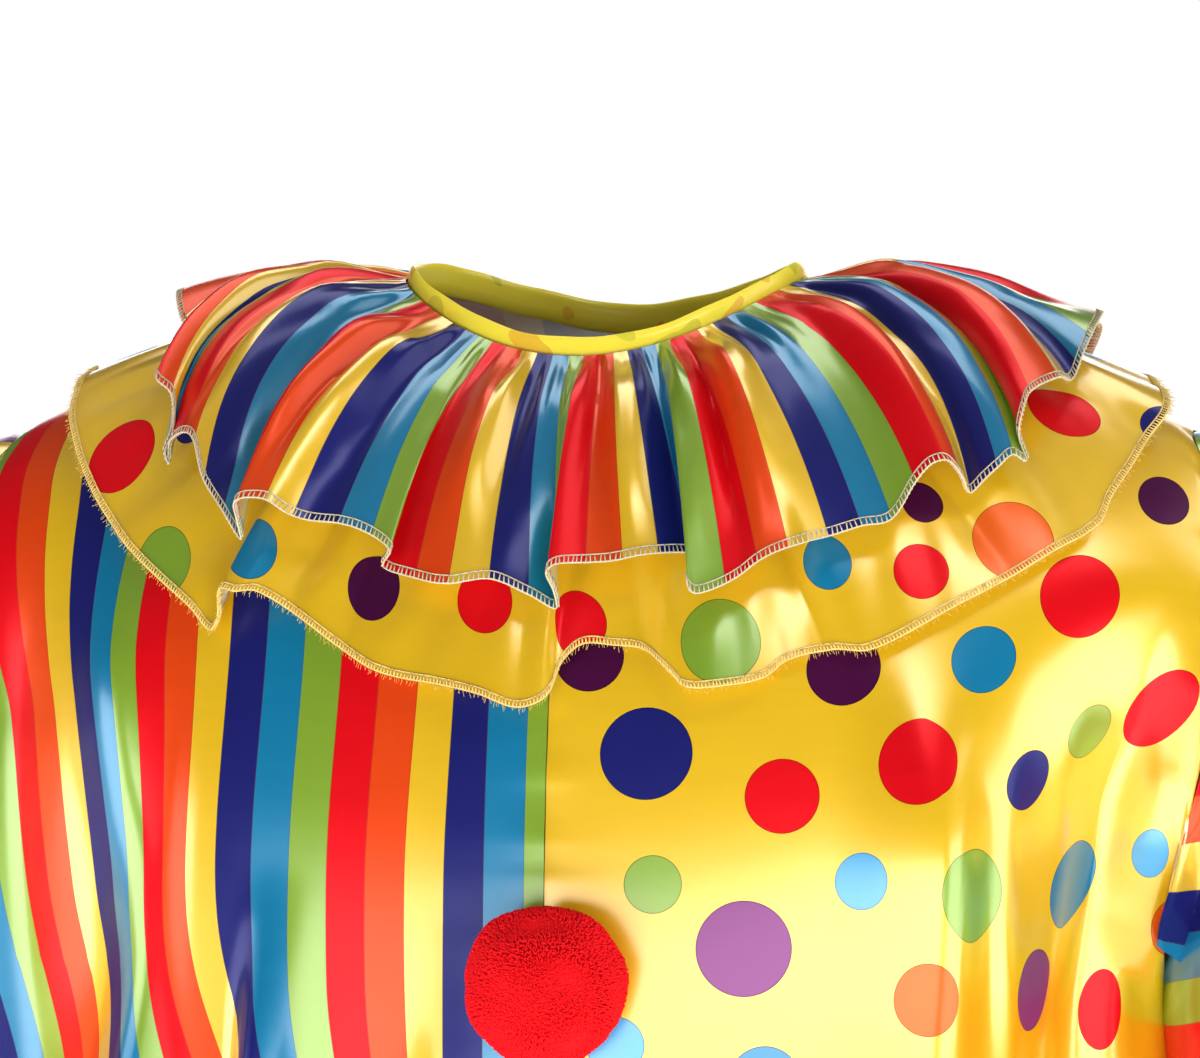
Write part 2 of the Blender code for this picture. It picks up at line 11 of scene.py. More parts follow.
import bmesh
import bpy
import numpy as np
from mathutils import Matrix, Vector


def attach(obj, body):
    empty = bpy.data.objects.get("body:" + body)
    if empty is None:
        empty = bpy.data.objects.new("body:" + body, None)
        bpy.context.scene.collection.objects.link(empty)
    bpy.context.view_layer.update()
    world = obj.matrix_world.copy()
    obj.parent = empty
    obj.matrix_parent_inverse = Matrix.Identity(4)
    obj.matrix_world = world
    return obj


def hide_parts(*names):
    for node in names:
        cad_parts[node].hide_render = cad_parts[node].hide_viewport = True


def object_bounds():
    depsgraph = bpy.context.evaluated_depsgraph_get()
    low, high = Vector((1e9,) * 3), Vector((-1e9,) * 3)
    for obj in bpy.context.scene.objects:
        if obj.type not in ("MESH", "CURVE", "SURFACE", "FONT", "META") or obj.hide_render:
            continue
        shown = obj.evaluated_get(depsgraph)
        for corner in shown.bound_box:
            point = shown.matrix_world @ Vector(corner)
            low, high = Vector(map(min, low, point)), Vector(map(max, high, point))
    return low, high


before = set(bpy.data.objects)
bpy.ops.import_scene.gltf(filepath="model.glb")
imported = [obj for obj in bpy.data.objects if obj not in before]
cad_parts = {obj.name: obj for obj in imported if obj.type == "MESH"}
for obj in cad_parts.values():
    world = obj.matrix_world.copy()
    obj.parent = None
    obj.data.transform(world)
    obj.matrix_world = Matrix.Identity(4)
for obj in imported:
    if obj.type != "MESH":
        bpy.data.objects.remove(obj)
cad_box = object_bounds()

LEFT, RIGHT = 1, -1
FRONT, BACK = -1, 1

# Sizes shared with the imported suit.
SEAM = 0.0003
NECK_HALF_WIDTH = 0.069
NECK_HALF_DEPTH = 0.065
CHEST_Z = -0.230
CROTCH_Z = -0.740
ANKLE_Z = -1.420
CHEST_DEPTH = {FRONT: 0.130, BACK: 0.112}
PLAN_POWER = 2.2
PROFILE_POWER = {FRONT: 2.0, BACK: 2.8}
ARM_ROOT_HALF = {LEFT: 0.262, RIGHT: 0.272}
NECK_SHARE = 4 / 9              # share of a panel's top edge that ends at the neckline

CLOTH = 0.0004                  # thickness of the satin
PANEL_COLUMNS = {FRONT: 104, BACK: 70}
YOKE_ROWS = 60
STRIPE = 0.01345                # width of one printed stripe
CENTRE_STRIPE = 5.49            # the print's stripe count where it meets the centre seam, green half cut off
SLEEVE_STRIPE = 4.68            # and at the underarm


def table(header, *rows):
    """Columns of numbers by name, from rows under a header; a column marked /mm is turned into metres."""
    columns = {}
    for word, values in zip(header.split(), np.array(rows, float).T):
        name, _, unit_name = word.partition("/")
        columns[name] = values / 1000 if unit_name else values
    return columns


def each_row(rows):
    """A table's rows, each by the names of its columns."""
    return [dict(zip(rows, values)) for values in zip(*rows.values())]


SHOULDER = table(
    "x/mm z/mm",
    (0, 6),
    (69, 0),
    (105, -10),
    (150, -26.5),
    (194, -45),
    (240, -66),
)

ARMHOLE = {
    LEFT: table(
        "turn x/mm",
        (0, 202),
        (30, 213),
        (60, 213),
        (78, 203),
        (90, 194),
    ),
    RIGHT: table(
        "turn x/mm",
        (0, 206),
        (30, 222),
        (60, 232),
        (78, 231),
        (90, 227),
    ),
}

BODY = table(
    "z left/mm right/mm inner/mm front/mm back/mm inner_turn",
    (CHEST_Z, 194, 227, 0, 130, 112, 0),
    (-0.275, 197, 228, 0, 131, 113, 0),
    (-0.33, 200, 225, 0, 131, 112, 0),
    (-0.39, 198, 218, 0, 130, 110, 0),
    (-0.45, 197, 211, 0, 129, 112, 0),
    (-0.51, 202, 210, 0, 129, 122, 0),
    (-0.56, 209, 213, 0, 129, 131, 0),
    (-0.61, 215, 217, 0, 129, 136, 25),
    (-0.655, 219, 220, 0, 128, 136, 46),
    (-0.695, 221, 222, 0, 127, 134, 65),
    (-0.722, 222, 223, 0, 126, 131, 79),
    (CROTCH_Z, 223, 224, 0, 125, 129, 90),
    (-0.775, 225, 226, 4, 124, 126, 90),
    (-0.85, 229, 230, 10, 121, 122, 90),
    (-0.95, 234, 235, 15, 117, 118, 90),
    (-1.06, 239, 240, 20, 113, 114, 90),
    (-1.17, 244, 245, 24, 112, 112, 90),
    (-1.27, 250, 251, 27, 113, 113, 90),
    (-1.35, 255, 256, 28, 115, 115, 90),
    (ANKLE_Z, 259, 260, 28, 117, 117, 90),
)

# Folds of each quarter panel. girth is the distance round the cloth from the centre seam at the fold's
# top and foot; height is a ridge's rise or, negative, a trough's fall; roll carries the crest sideways;
# slack is the cloth that the fold's own small tucks take up.
FOLD_COLUMNS = "top_girth/mm foot_girth/mm top/mm foot/mm half_width/mm height/mm roll/mm slack/mm"
FOLDS = {
    (RIGHT, FRONT): table(
        FOLD_COLUMNS,
        (31, 25, -205, -420, 18, 4, 1, 1),
        (61, 60, -230, -460, 23, -5, 0, 9),
        (30, 30, -20, -200, 16, -1, 0, 3),
        (150, 150, 10, -135, 30, -2, 0, 15),
        (154, 169, -120, -300, 41, -10, -6, 10),
        (219, 180, -60, -560, 51, -14, 3, 1),
        (157, 142, -60, -500, 26, 7, -2, 10),
        (139, 133, -80, -500, 32, -1, 2, 9),
        (91, 105, -190, -520, 16, 13, 2, 4),
        (235, 227, -60, -420, 30, 5, 1, 11),
        (120, 185, -540, -1380, 50, 10, 0, 0),
        (215, 180, -620, -1300, 42, -10, 4, 0),
        (60, 95, -700, -1430, 40, -8, -3, 0),
        (45, 170, -330, -700, 26, -5, 2, 0),
        (235, 120, -420, -690, 30, 6, 3, 0),
        (75, 50, -900, -1200, 22, 5, 3, 0),
        (250, 240, -800, -1120, 24, 5, 0, 0),
        (160, 225, -1180, -1440, 28, -6, 2, 0),
    ),
    (LEFT, FRONT): table(
        FOLD_COLUMNS,
        (209, 188, -95, -560, 52, -24, 1, 11),
        (127, 108, -110, -520, 31, 13, 6, 4),
        (218, 225, -100, -330, 14, 3, -1, 11),
        (150, 157, -205, -330, 12, -3, 2, 0),
        (167, 172, -100, -400, 20, -3, -1, 1),
        (110, 180, -590, -1400, 50, 10, 0, 0),
        (200, 160, -560, -1250, 42, -11, -4, 0),
        (55, 80, -760, -1430, 40, -8, 3, 0),
        (40, 140, -360, -660, 28, -5, 3, 0),
        (220, 130, -470, -720, 30, 6, -3, 0),
        (90, 60, -980, -1260, 24, 5, 2, 0),
        (245, 250, -860, -1180, 24, 5, 0, 0),
        (180, 235, -1210, -1450, 30, -6, -2, 0),
    ),
    (RIGHT, BACK): table(
        FOLD_COLUMNS,
        (155, 165, -90, -520, 46, -10, 3, 0),
        (80, 70, -300, -680, 40, 9, 3, 0),
        (215, 205, -120, -400, 30, 6, 0, 0),
        (130, 170, -660, -1400, 50, -10, -4, 0),
        (215, 220, -720, -1300, 40, 8, 3, 0),
        (60, 85, -820, -1360, 34, 7, 3, 0),
        (40, 130, -150, -330, 26, 4, -2, 0),
        (240, 140, -500, -700, 32, -6, 3, 0),
    ),
    (LEFT, BACK): table(
        FOLD_COLUMNS,
        (150, 158, -110, -500, 44, -11, -3, 0),
        (88, 74, -340, -700, 38, 8, 4, 0),
        (205, 200, -140, -420, 28, 6, 0, 0),
        (120, 165, -700, -1420, 50, -9, 4, 0),
        (215, 210, -740, -1280, 40, 9, -3, 0),
        (55, 75, -880, -1400, 32, 7, -2, 0),
        (50, 120, -170, -350, 24, 4, 2, 0),
        (235, 130, -520, -720, 30, -6, -3, 0),
    ),
}
FOLD_END = 0.085                # length over which a long fold dies away

# Sleeve sections, fanned about the underarm and then slid down the arm.
ARM_LEAN = {LEFT: 15.0, RIGHT: 22.0}
SLEEVE = table(
    "turn slide/mm out/mm width/mm half_depth/mm follow",
    (18, 1, 5, 168, 64, 0.85),
    (37, 4, 6, 158, 71, 0.6),
    (55, 12, 7, 153, 76, 0.3),
    (90, 55, 8, 156, 79, 0),
    (90, 110, 8, 150, 76, 0),
    (90, 165, 8, 154, 77, 0),
    (90, 220, 8, 143, 72, 0),
    (90, 280, 8, 150, 76, 0),
    (90, 345, 8, 152, 77, 0),
    (90, 405, 8, 157, 79, 0),
)


def read(rows, key, at, column):
    """Smooth value of a table's column: a cubic through the rows, with flat ends."""
    keys, values = rows[key], rows[column]
    if keys[0] > keys[-1]:
        keys, values = keys[::-1], values[::-1]
    at = np.clip(np.asarray(at, float), keys[0], keys[-1])
    slopes = np.zeros(len(keys))
    slopes[1:-1] = (values[2:] - values[:-2]) / (keys[2:] - keys[:-2])
    low = np.clip(np.searchsorted(keys, at, side="right") - 1, 0, len(keys) - 2)
    span = keys[low + 1] - keys[low]
    part = (at - keys[low]) / span
    square, cube = part ** 2, part ** 3
    return ((2 * cube - 3 * square + 1) * values[low]
            + (cube - 2 * square + part) * span * slopes[low]
            + (3 * square - 2 * cube) * values[low + 1]
            + (cube - square) * span * slopes[low + 1])


def bump(distance):
    """A smooth hill of height 1 at 0 that ends at distance 1."""
    return np.maximum(0.0, 0.5 + 0.5 * np.cos(np.pi * np.clip(distance, -1, 1)))


def ramp(value, start, end):
    """Smooth rise from 0 at start to 1 at end."""
    part = np.clip((np.asarray(value, float) - start) / (end - start), 0, 1)
    return part * part * (3 - 2 * part)


def plateau(value, start, full, fading, end):
    """Smooth rise from 0 to 1 between start and full, and fall between fading and end."""
    return ramp(value, start, full) * (1 - ramp(value, fading, end))


def ripple(along, *waves):
    """Uneven waviness: a sum of (cycles, phase, height) waves over a run of length 1."""
    return sum(height * np.sin(2 * np.pi * (cycles * along + phase)) for cycles, phase, height in waves)


def unit(vectors):
    """Vectors at length 1."""
    return vectors / np.maximum(np.linalg.norm(vectors, axis=-1, keepdims=True), 1e-12)


def grid_normals(grid):
    """Unit normals of a grid of points: across its columns and then down its rows."""
    return unit(np.cross(np.gradient(grid, axis=1), np.gradient(grid, axis=0)))


def run_length(grid, axis):
    """Length along a grid's rows (axis 1) or columns (axis 0) from its first point."""
    steps = np.linalg.norm(np.diff(grid, axis=axis), axis=-1)
    zero = np.zeros_like(np.take(steps, [0], axis=axis))
    return np.concatenate([zero, np.cumsum(steps, axis=axis)], axis=axis)


# ---------------------------------------------------------------- the body's surface

SWEEP_STEP = 3                  # degrees between the angles tried down a yoke
HALVINGS = {"turn": 18, "reach": 12}    # of a search for a turn down the yoke, or for a reach over it
SOFTENING_PASSES = 70
ROW_STEP = 0.004                # height of a row of cloth at the chest
CLOSE_ROWS_END = -0.352         # height at which rows start to stand farther apart
LONG_ROWS = 132                 # and how many there are from there to the ankle
SEAM_CALM = 0.022               # distance from a seam over which folds die away
SIDE_LAID = (0.35, 0.47)        # depths between which the print turns to follow the side seam


def side_of(side):
    """Name of a side's column in the table of the body."""
    return "left" if side == LEFT else "right"


def yoke_half(side, turn):
    """Half-width of the yoke's section at an angle down from the shoulder ridge."""
    chest = BODY[side_of(side)][0]
    return chest + (ARM_ROOT_HALF[side] - chest) * np.sqrt(np.maximum(0, np.cos(turn)))


def yoke_depth(side, face, x, turn):
    """How far the yoke stands off the shoulder ridge at x and an angle down from it."""
    fullness = np.maximum(0, 1 - (x / yoke_half(side, turn)) ** PLAN_POWER) ** (1 / PLAN_POWER)
    return CHEST_DEPTH[face] * np.maximum(0, np.sin(turn)) ** (2 / PROFILE_POWER[face]) * fullness


def yoke_height(face, x, turn):
    """Height of the yoke at x and an angle down from the shoulder ridge."""
    rise = read(SHOULDER, "x", x, "z") - CHEST_Z
    return CHEST_Z + rise * np.maximum(0, np.cos(turn)) ** (2 / PROFILE_POWER[face])


def turn_at(side, face, x, y):
    """Angle at which the yoke first stands y off the ridge at x; not a number past its fullest point."""
    x, y = np.broadcast_arrays(np.asarray(x, float), np.asarray(y, float))
    low, high = np.zeros(x.shape), np.full(x.shape, np.nan)
    for step in range(SWEEP_STEP, 90 + SWEEP_STEP, SWEEP_STEP):
        turn = math.radians(step)
        reached = np.isnan(high) & (yoke_depth(side, face, x, turn) >= y)
        high = np.where(reached, turn, high)
        low = np.where(reached, turn - math.radians(SWEEP_STEP), low)
    for _ in range(HALVINGS["turn"]):
        middle = (low + high) / 2
        short = yoke_depth(side, face, x, middle) < y
        low, high = np.where(short, middle, low), np.where(short, high, middle)
    return (low + high) / 2


def panel_base(side, face, across, downs, levels):
    """Points of the unfolded panel in the quadrant: yoke rows, then body and leg rows."""
    tip = ARMHOLE[side]["x"][0]
    neck = np.minimum(across / NECK_SHARE, 1) * math.pi / 2
    neck_x = (NECK_HALF_WIDTH + SEAM) * np.sin(neck)
    neck_y = (NECK_HALF_DEPTH + SEAM) * np.cos(neck)
    share = np.clip((across - NECK_SHARE) / (1 - NECK_SHARE), 0, 1)
    top_x = np.where(across <= NECK_SHARE, neck_x, neck_x + (tip - neck_x) * share)
    at_neck = across < NECK_SHARE - 1e-6
    tops = np.zeros(len(across))
    turn = turn_at(side, face, neck_x[at_neck], neck_y[at_neck])
    tops[at_neck] = np.arccos(np.cos(turn) ** (2 / PROFILE_POWER[face]))
    down = downs[:, None]
    edge = read(ARMHOLE[side], "turn", 90 * down, "x")
    low = np.sin(math.pi / 2 * across) ** (2 / PLAN_POWER)
    x = edge * (top_x / tip + (low - top_x / tip) * down)
    turn = np.arccos(np.clip(np.cos(tops + (math.pi / 2 - tops) * down), 0, 1) ** (PROFILE_POWER[face] / 2))
    yoke = np.stack([x, yoke_depth(side, face, x, turn), yoke_height(face, x, turn)], -1)
    z = levels[:, None]
    outer, inner, depth, inner_turn = (
        read(BODY, "z", z, column)
        for column in (side_of(side), "inner", "front" if face == FRONT else "back", "inner_turn"))
    inner_turn = np.radians(inner_turn)
    power = 2 / PLAN_POWER
    turned_in = np.maximum(0, np.sin(inner_turn)) ** power
    half = (outer - inner) / (1 + turned_in)
    angle = -inner_turn + (math.pi / 2 + inner_turn) * across[None, :]
    x = inner + half * turned_in + half * np.sign(np.sin(angle)) * np.abs(np.sin(angle)) ** power
    y = depth * np.abs(np.cos(angle)) ** power
    body = np.stack([x, y, np.broadcast_to(z, x.shape)], -1)
    return np.concatenate([yoke, body], 0)


def soften_underarm(base, across):
    """The panel with the turn of the cloth below the arm rounded off."""
    from_chest = np.arange(len(base)) - YOKE_ROWS
    weight = plateau(from_chest, -26, -12, 14, 30)[:, None] * plateau(across, 0.45, 0.66, 0.955, 1.0)
    weight = np.maximum(weight, 0.4 * plateau(from_chest, -14, -6, 6, 14)[:, None])
    soft = base.copy()
    for _ in range(SOFTENING_PASSES):
        middle = (np.roll(soft, 1, 0) + np.roll(soft, -1, 0)) / 2
        soft[..., :2] += (0.5 * weight[..., None] * (middle - soft))[..., :2]
    return soft


def panel_levels():
    """Heights of a panel's rows below the underarm, closer together at the chest."""
    chest = np.arange(CHEST_Z, CLOSE_ROWS_END, -ROW_STEP)
    return np.concatenate([chest, np.linspace(chest[-1], ANKLE_Z, LONG_ROWS)[1:]])


def folded(base, folds):
    """A panel's points with its folds raised, the girth of the unfolded cloth at each, and the slack."""
    girth = run_length(base, 1)
    width = girth[:, -1:]
    normal, along = grid_normals(base), unit(np.gradient(base, axis=1))
    rise, slide, slack = (np.zeros(girth.shape) for _ in range(3))
    for fold in each_row(folds):
        down = (base[..., 2] - fold["top"]) / (fold["foot"] - fold["top"])
        end = min(0.45, FOLD_END / (fold["top"] - fold["foot"]))
        strength = ramp(down, 0, end) * ramp(1 - down, 0, end)
        centre = fold["top_girth"] + (fold["foot_girth"] - fold["top_girth"]) * down
        off = (girth - centre) / fold["half_width"]
        rise += fold["height"] * bump(off) * strength
        slide += fold["roll"] * bump(off) * strength
        slack += fold["slack"] * ramp(off, -1, 1) * strength
    fade = ramp(girth, 0.0, SEAM_CALM) * ramp(width - girth, 0.0, SEAM_CALM)
    return base + normal * (rise * fade)[..., None] + along * (slide * fade)[..., None], girth, slack


def level_runs(grid):
    """Cloth length from the centre seam along level cuts of the yoke, at each of its points."""
    levels = np.arange(CHEST_Z, ROW_STEP, ROW_STEP)
    cuts = np.full((len(levels), grid.shape[1], 2), np.nan)
    for column in range(grid.shape[1]):
        track = grid[::-1, column]
        for axis in (0, 1):
            cuts[:, column, axis] = np.interp(levels, track[:, 2], track[:, axis], right=np.nan)
    known = ~np.isnan(cuts[..., 0])
    steps = np.nan_to_num(np.linalg.norm(np.diff(cuts, axis=1), axis=-1))
    runs = np.concatenate([np.zeros((len(levels), 1)), np.cumsum(steps, axis=1)], 1)
    first = np.argmax(known, axis=1)
    runs += np.nan_to_num(cuts[np.arange(len(levels)), first, 0])[:, None]
    answer = np.empty(grid.shape[:2])
    for column in range(grid.shape[1]):
        chosen = known[:, column]
        answer[:, column] = np.interp(grid[:, column, 2], levels[chosen], runs[chosen, column])
    return answer


def panel_map(base, grid, slack):
    """UV of a panel's points in metres: across the cloth from the centre seam, and up its grain."""
    yoke = slice(0, YOKE_ROWS + 1)
    full = run_length(grid, 1)
    across, up = full + slack, np.broadcast_to(base[..., 2] - CHEST_Z, full.shape).copy()
    across[yoke] = level_runs(grid[yoke]) + slack[yoke]
    climb = np.linalg.norm(np.diff(base[yoke][..., 1:], axis=0), axis=-1)
    up[:YOKE_ROWS] = np.cumsum(climb[::-1], axis=0)[::-1]
    from_side = full[:, -1:] - full
    below = ramp(-base[:, :1, 2], *SIDE_LAID)
    hip = full[np.argmin(np.abs(base[:, 0, 2] + SIDE_LAID[1])), -1]
    across = across + (hip - from_side - across) * below
    return np.stack([across, up], -1)


# ---------------------------------------------------------------- meshes

SHARP_EDGE = math.radians(60)
# The dip and the puckers of cloth at a seam: how deep they are and how far from it they reach.
SEAM_DIP, SEAM_REACH = 0.0011, 0.0022
PUCKER, PUCKER_REACH = 0.0005, 0.010
ARMHOLE_PUCKER = 0.0011
WRIST_HEM = 0.020               # distance of the hem's stitching from the sleeve's end


def add_object(name, data):
    """A new object in the scene."""
    made = bpy.data.objects.new(name, data)
    bpy.context.scene.collection.objects.link(made)
    return made


def new_mesh(name, points, faces, material, maps=None, caps=()):
    """An object from points and faces, smooth apart from its rims, with any end caps after the rest."""
    mesh = bpy.data.meshes.new(name)
    mesh.from_pydata(points.tolist(), [], faces.tolist() + [list(cap) for cap in caps])
    if maps is not None:
        layer = mesh.uv_layers.new(name="cloth")
        flat = np.zeros((len(mesh.loops), 2), np.float32)
        flat[:maps.shape[0] * 4] = maps.reshape(-1, 2)
        layer.data.foreach_set("uv", flat.reshape(-1))
    mesh.materials.append(material)
    mesh.shade_smooth()
    mesh.set_sharp_from_angle(angle=SHARP_EDGE)
    return add_object(name, mesh)


def grid_faces(rows, columns, closed=False):
    """Corners (row, column) of each face of a grid, and its faces; its columns may close on themselves."""
    span = columns if closed else columns - 1
    row, column = np.meshgrid(np.arange(rows - 1), np.arange(span), indexing="ij")
    corners = [(row, column), (row + 1, column), (row + 1, column + 1), (row, column + 1)]
    return corners, np.stack([r * columns + c % columns for r, c in corners], -1).reshape(-1, 4)


def cloth_shell(name, outer, inner, cloth_map, material, reverse, closed=False):
    """A thin closed shell between two grids of points, with a UV map in metres and a finish on each side."""
    rows, columns = outer.shape[:2]
    span = columns if closed else columns - 1
    corners, skin = grid_faces(rows, columns, closed)
    skin_map = np.stack([cloth_map[r, c] for r, c in corners], 2).reshape(-1, 4, 2)
    count = rows * columns
    faces, maps = [skin, (skin + count)[:, ::-1]], [skin_map, skin_map[:, ::-1]]
    edges = [[(r, c) for c in range(span + 1)] for r in (0, rows - 1)]
    if not closed:
        edges += [[(r, c) for r in range(rows)] for c in (0, columns - 1)]
    for number, edge in enumerate(edges):
        places = np.array([r * columns + c % columns for r, c in edge])
        along = np.array([cloth_map[r, c] for r, c in edge])
        rim = np.stack([places[:-1], places[1:], places[1:] + count, places[:-1] + count], -1)
        rim_map = np.stack([along[:-1], along[1:], along[1:], along[:-1]], 1)
        turned = -1 if number in (1, 2) else 1
        faces.append(rim[:, ::turned])
        maps.append(rim_map[:, ::turned])
    faces, maps = np.concatenate(faces), np.concatenate(maps)
    points = np.concatenate([outer.reshape(-1, 3), inner.reshape(-1, 3)])
    row, column = rows // 2, columns // 3
    start = points[skin[row * span + column]]
    if np.dot(np.cross(start[1] - start[0], start[3] - start[0]), (outer - inner)[row, column]) < 0:
        faces, maps = faces[:, ::-1], maps[:, ::-1]
    piece = new_mesh(name, points, faces, material, maps)
    piece.data.materials.append(reverse)
    sides = np.zeros(len(faces), np.int32)
    sides[len(skin):2 * len(skin)] = 1
    piece.data.polygons.foreach_set("material_index", sides)
    return piece


def capped_tube(name, rings, material, cloth_map=None):
    """A tube through rings of points, with flat ends."""
    count, sides = rings.shape[:2]
    corners, faces = grid_faces(count, sides, closed=True)
    turned = [0, 3, 2, 1]
    maps = None
    if cloth_map is not None:
        maps = np.stack([cloth_map[r, c] for r, c in corners], 2).reshape(-1, 4, 2)[:, turned]
    ends = [np.arange(sides), np.arange(sides)[::-1] + (count - 1) * sides]
    return new_mesh(name, rings.reshape(-1, 3), faces[:, turned], material, maps, ends)


def place(points, side, face):
    """Quadrant points in the suit."""
    return points * np.array([side, face, 1.0])


def seam_set_in(distance):
    """How far cloth dips where it turns into a seam."""
    return -SEAM_DIP * np.exp(-(distance / SEAM_REACH) ** 2)


def gathers(side, face, uv, edge_distance):
    """Small puckers of the cloth along a seam."""
    wave = ripple(uv[..., 1] / 0.1, (3.1, 0.1 * side, 0.5), (5.3, 0.37 * face, 0.35), (8.7, 0.2, 0.25))
    return PUCKER * wave * np.exp(-edge_distance / PUCKER_REACH)


def body_panel(name, side, face, material, reverse):
    """A quarter of the suit's body and leg."""
    across = np.linspace(0, 1, PANEL_COLUMNS[face] + 1)
    downs = np.linspace(0, 1, YOKE_ROWS + 1)[:-1]
    base = soften_underarm(panel_base(side, face, across, downs, panel_levels()), across)
    grid, girth, slack = folded(base, FOLDS[side, face])
    uv = panel_map(base, grid, slack)
    to_side = girth[:, -1:] - girth
    rise = seam_set_in(girth) + seam_set_in(to_side) + gathers(side, face, uv, np.minimum(girth, to_side))
    rise *= ramp(np.arange(len(grid)), 0, 6)[:, None]
    grid = grid + grid_normals(grid) * rise[..., None]
    grid[:, 0, 0] = np.where(base[:, 0, 2] >= CROTCH_Z, 0.0, grid[:, 0, 0])
    grid = grid + np.array([SEAM / 2, SEAM / 2, 0])
    inner = grid - grid_normals(grid) * CLOTH
    if side == RIGHT:
        uv[..., 0] = CENTRE_STRIPE * STRIPE - uv[..., 0]
    return cloth_shell(name, place(grid, side, face), place(inner, side, face), uv, material, reverse)


# ---------------------------------------------------------------- sleeves

SLEEVE_HALF_RING = 36
SLEEVE_ROWS = 13                # rows of the sleeve between two of its sections
SLEEVE_TAKE_UP = 0.92           # share of a sleeve's own length that its print is laid out over

# Folds across a sleeve: turn round the arm from the crown, distance down it from the underarm, the lengths
# of the fold round and down the arm, its height and its slant.
SLEEVE_FOLD_COLUMNS = "turn down/mm round/mm deep/mm height/mm slant"
SLEEVE_FOLDS = {
    LEFT: table(
        SLEEVE_FOLD_COLUMNS,
        (180, 68, 130, 75, 24.5, 0),
        (70, 20, 120, 16, 4, 0.25),
        (110, 75, 150, 20, -5, -0.3),
        (40, 130, 120, 20, 4, 0.35),
        (150, 185, 150, 18, 5, -0.25),
        (75, 215, 170, 18, -6, 0.2),
        (110, 250, 140, 16, 5, -0.2),
        (60, 300, 130, 22, -5, 0.3),
        (160, 345, 140, 22, 4, -0.3),
        (250, 60, 150, 22, -5, 0.25),
        (290, 150, 150, 20, 5, -0.25),
        (240, 220, 170, 18, -6, 0.25),
        (300, 290, 140, 20, 5, 0.3),
    ),
    RIGHT: table(
        SLEEVE_FOLD_COLUMNS,
        (60, 35, 130, 18, 4, 0.3),
        (120, 90, 150, 20, -5, -0.25),
        (50, 150, 130, 20, 5, 0.3),
        (130, 200, 160, 18, -6, -0.25),
        (80, 235, 160, 16, 5, 0.2),
        (100, 310, 140, 22, -5, 0.3),
        (170, 350, 130, 22, 4, -0.25),
        (260, 80, 150, 22, -5, 0.25),
        (280, 170, 150, 20, 5, -0.3),
        (235, 225, 160, 18, -6, 0.2),
        (300, 300, 140, 20, 5, 0.3),
    ),
}


def armhole_loop(side):
    """Points just outside the armhole seam: crown, front, underarm, back."""
    downs = np.arange(SLEEVE_HALF_RING + 1) / SLEEVE_HALF_RING
    half = {}
    for face in (FRONT, BACK):
        edge = panel_base(side, face, np.array([0.9, 1.0]), downs[:-1], np.array([CHEST_Z]))[:, -1]
        half[face] = np.stack([edge[:, 0] + SEAM * 1.5, face * (edge[:, 1] + SEAM / 2), edge[:, 2]], -1)
        half[face][[0, -1], 1] = 0.0
    return np.concatenate([half[FRONT], half[BACK][-2:0:-1]])


def smooth_rows(rings, steps):
    """Rings with further ones worked out between them by a cubic through each point's track."""
    tracks = []
    for at in np.linspace(0, len(rings) - 1, (len(rings) - 1) * steps + 1):
        low = min(int(at), len(rings) - 2)
        part = at - low
        before, after = rings[max(low - 1, 0)], rings[min(low + 2, len(rings) - 1)]
        start, end = rings[low], rings[low + 1]
        tracks.append(0.5 * (2 * start + (end - before) * part
                             + (2 * before - 5 * start + 4 * end - after) * part ** 2
                             + (3 * start - before - 3 * end + after) * part ** 3))
    return np.stack(tracks)


def sleeve_grid(side):
    """Points of a sleeve, down from its armhole and round from its seam, its UV map and distance down."""
    loop = armhole_loop(side)
    count = len(loop)
    lean = math.radians(ARM_LEAN[side])
    down = np.array([math.sin(lean), 0, -math.cos(lean)])
    crown, under = loop[0], loop[count // 2]
    angle = 2 * math.pi * np.arange(count) / count
    even = 0.5 + 0.5 * np.cos(angle)
    own = (loop[:, 2] - under[2]) / (crown[2] - under[2])
    rings = [loop]
    for section in each_row(SLEEVE):
        turn = min(math.radians(section["turn"]), math.pi / 2 - lean)
        up = np.array([math.sin(turn), 0, math.cos(turn)])
        foot = under + down * section["slide"] + np.array([section["out"], 0, 0])
        share = np.clip(even + (own - even) * section["follow"], 0, 1)
        swell = np.sign(-np.sin(angle)) * 2 * np.sqrt(share * (1 - share))
        rings.append(foot + up * section["width"] * share[:, None]
                     + np.array([0, 1, 0]) * (section["half_depth"] * swell)[:, None])
    grid = np.roll(smooth_rows(rings, SLEEVE_ROWS), -(count // 2), 1)
    along = (grid - under) @ down
    around = run_length(np.concatenate([grid, grid[:, :1]], 1), 1)
    cloth = np.stack([np.concatenate([along, along[:, :1]], 1), around - around[:, -1:] / 2], -1)
    cloth[..., 0] = cloth[..., 0] * SLEEVE_TAKE_UP + SLEEVE_STRIPE * STRIPE
    return grid, cloth, along


def ring_normals(grid):
    """Unit normals of a tube of points whose columns close on themselves."""
    around = np.roll(grid, -1, 1) - np.roll(grid, 1, 1)
    normal = unit(np.cross(around, np.gradient(grid, axis=0)))
    middle = grid.mean(1, keepdims=True)
    return normal * np.sign(((grid - middle) * normal).sum(-1).mean())


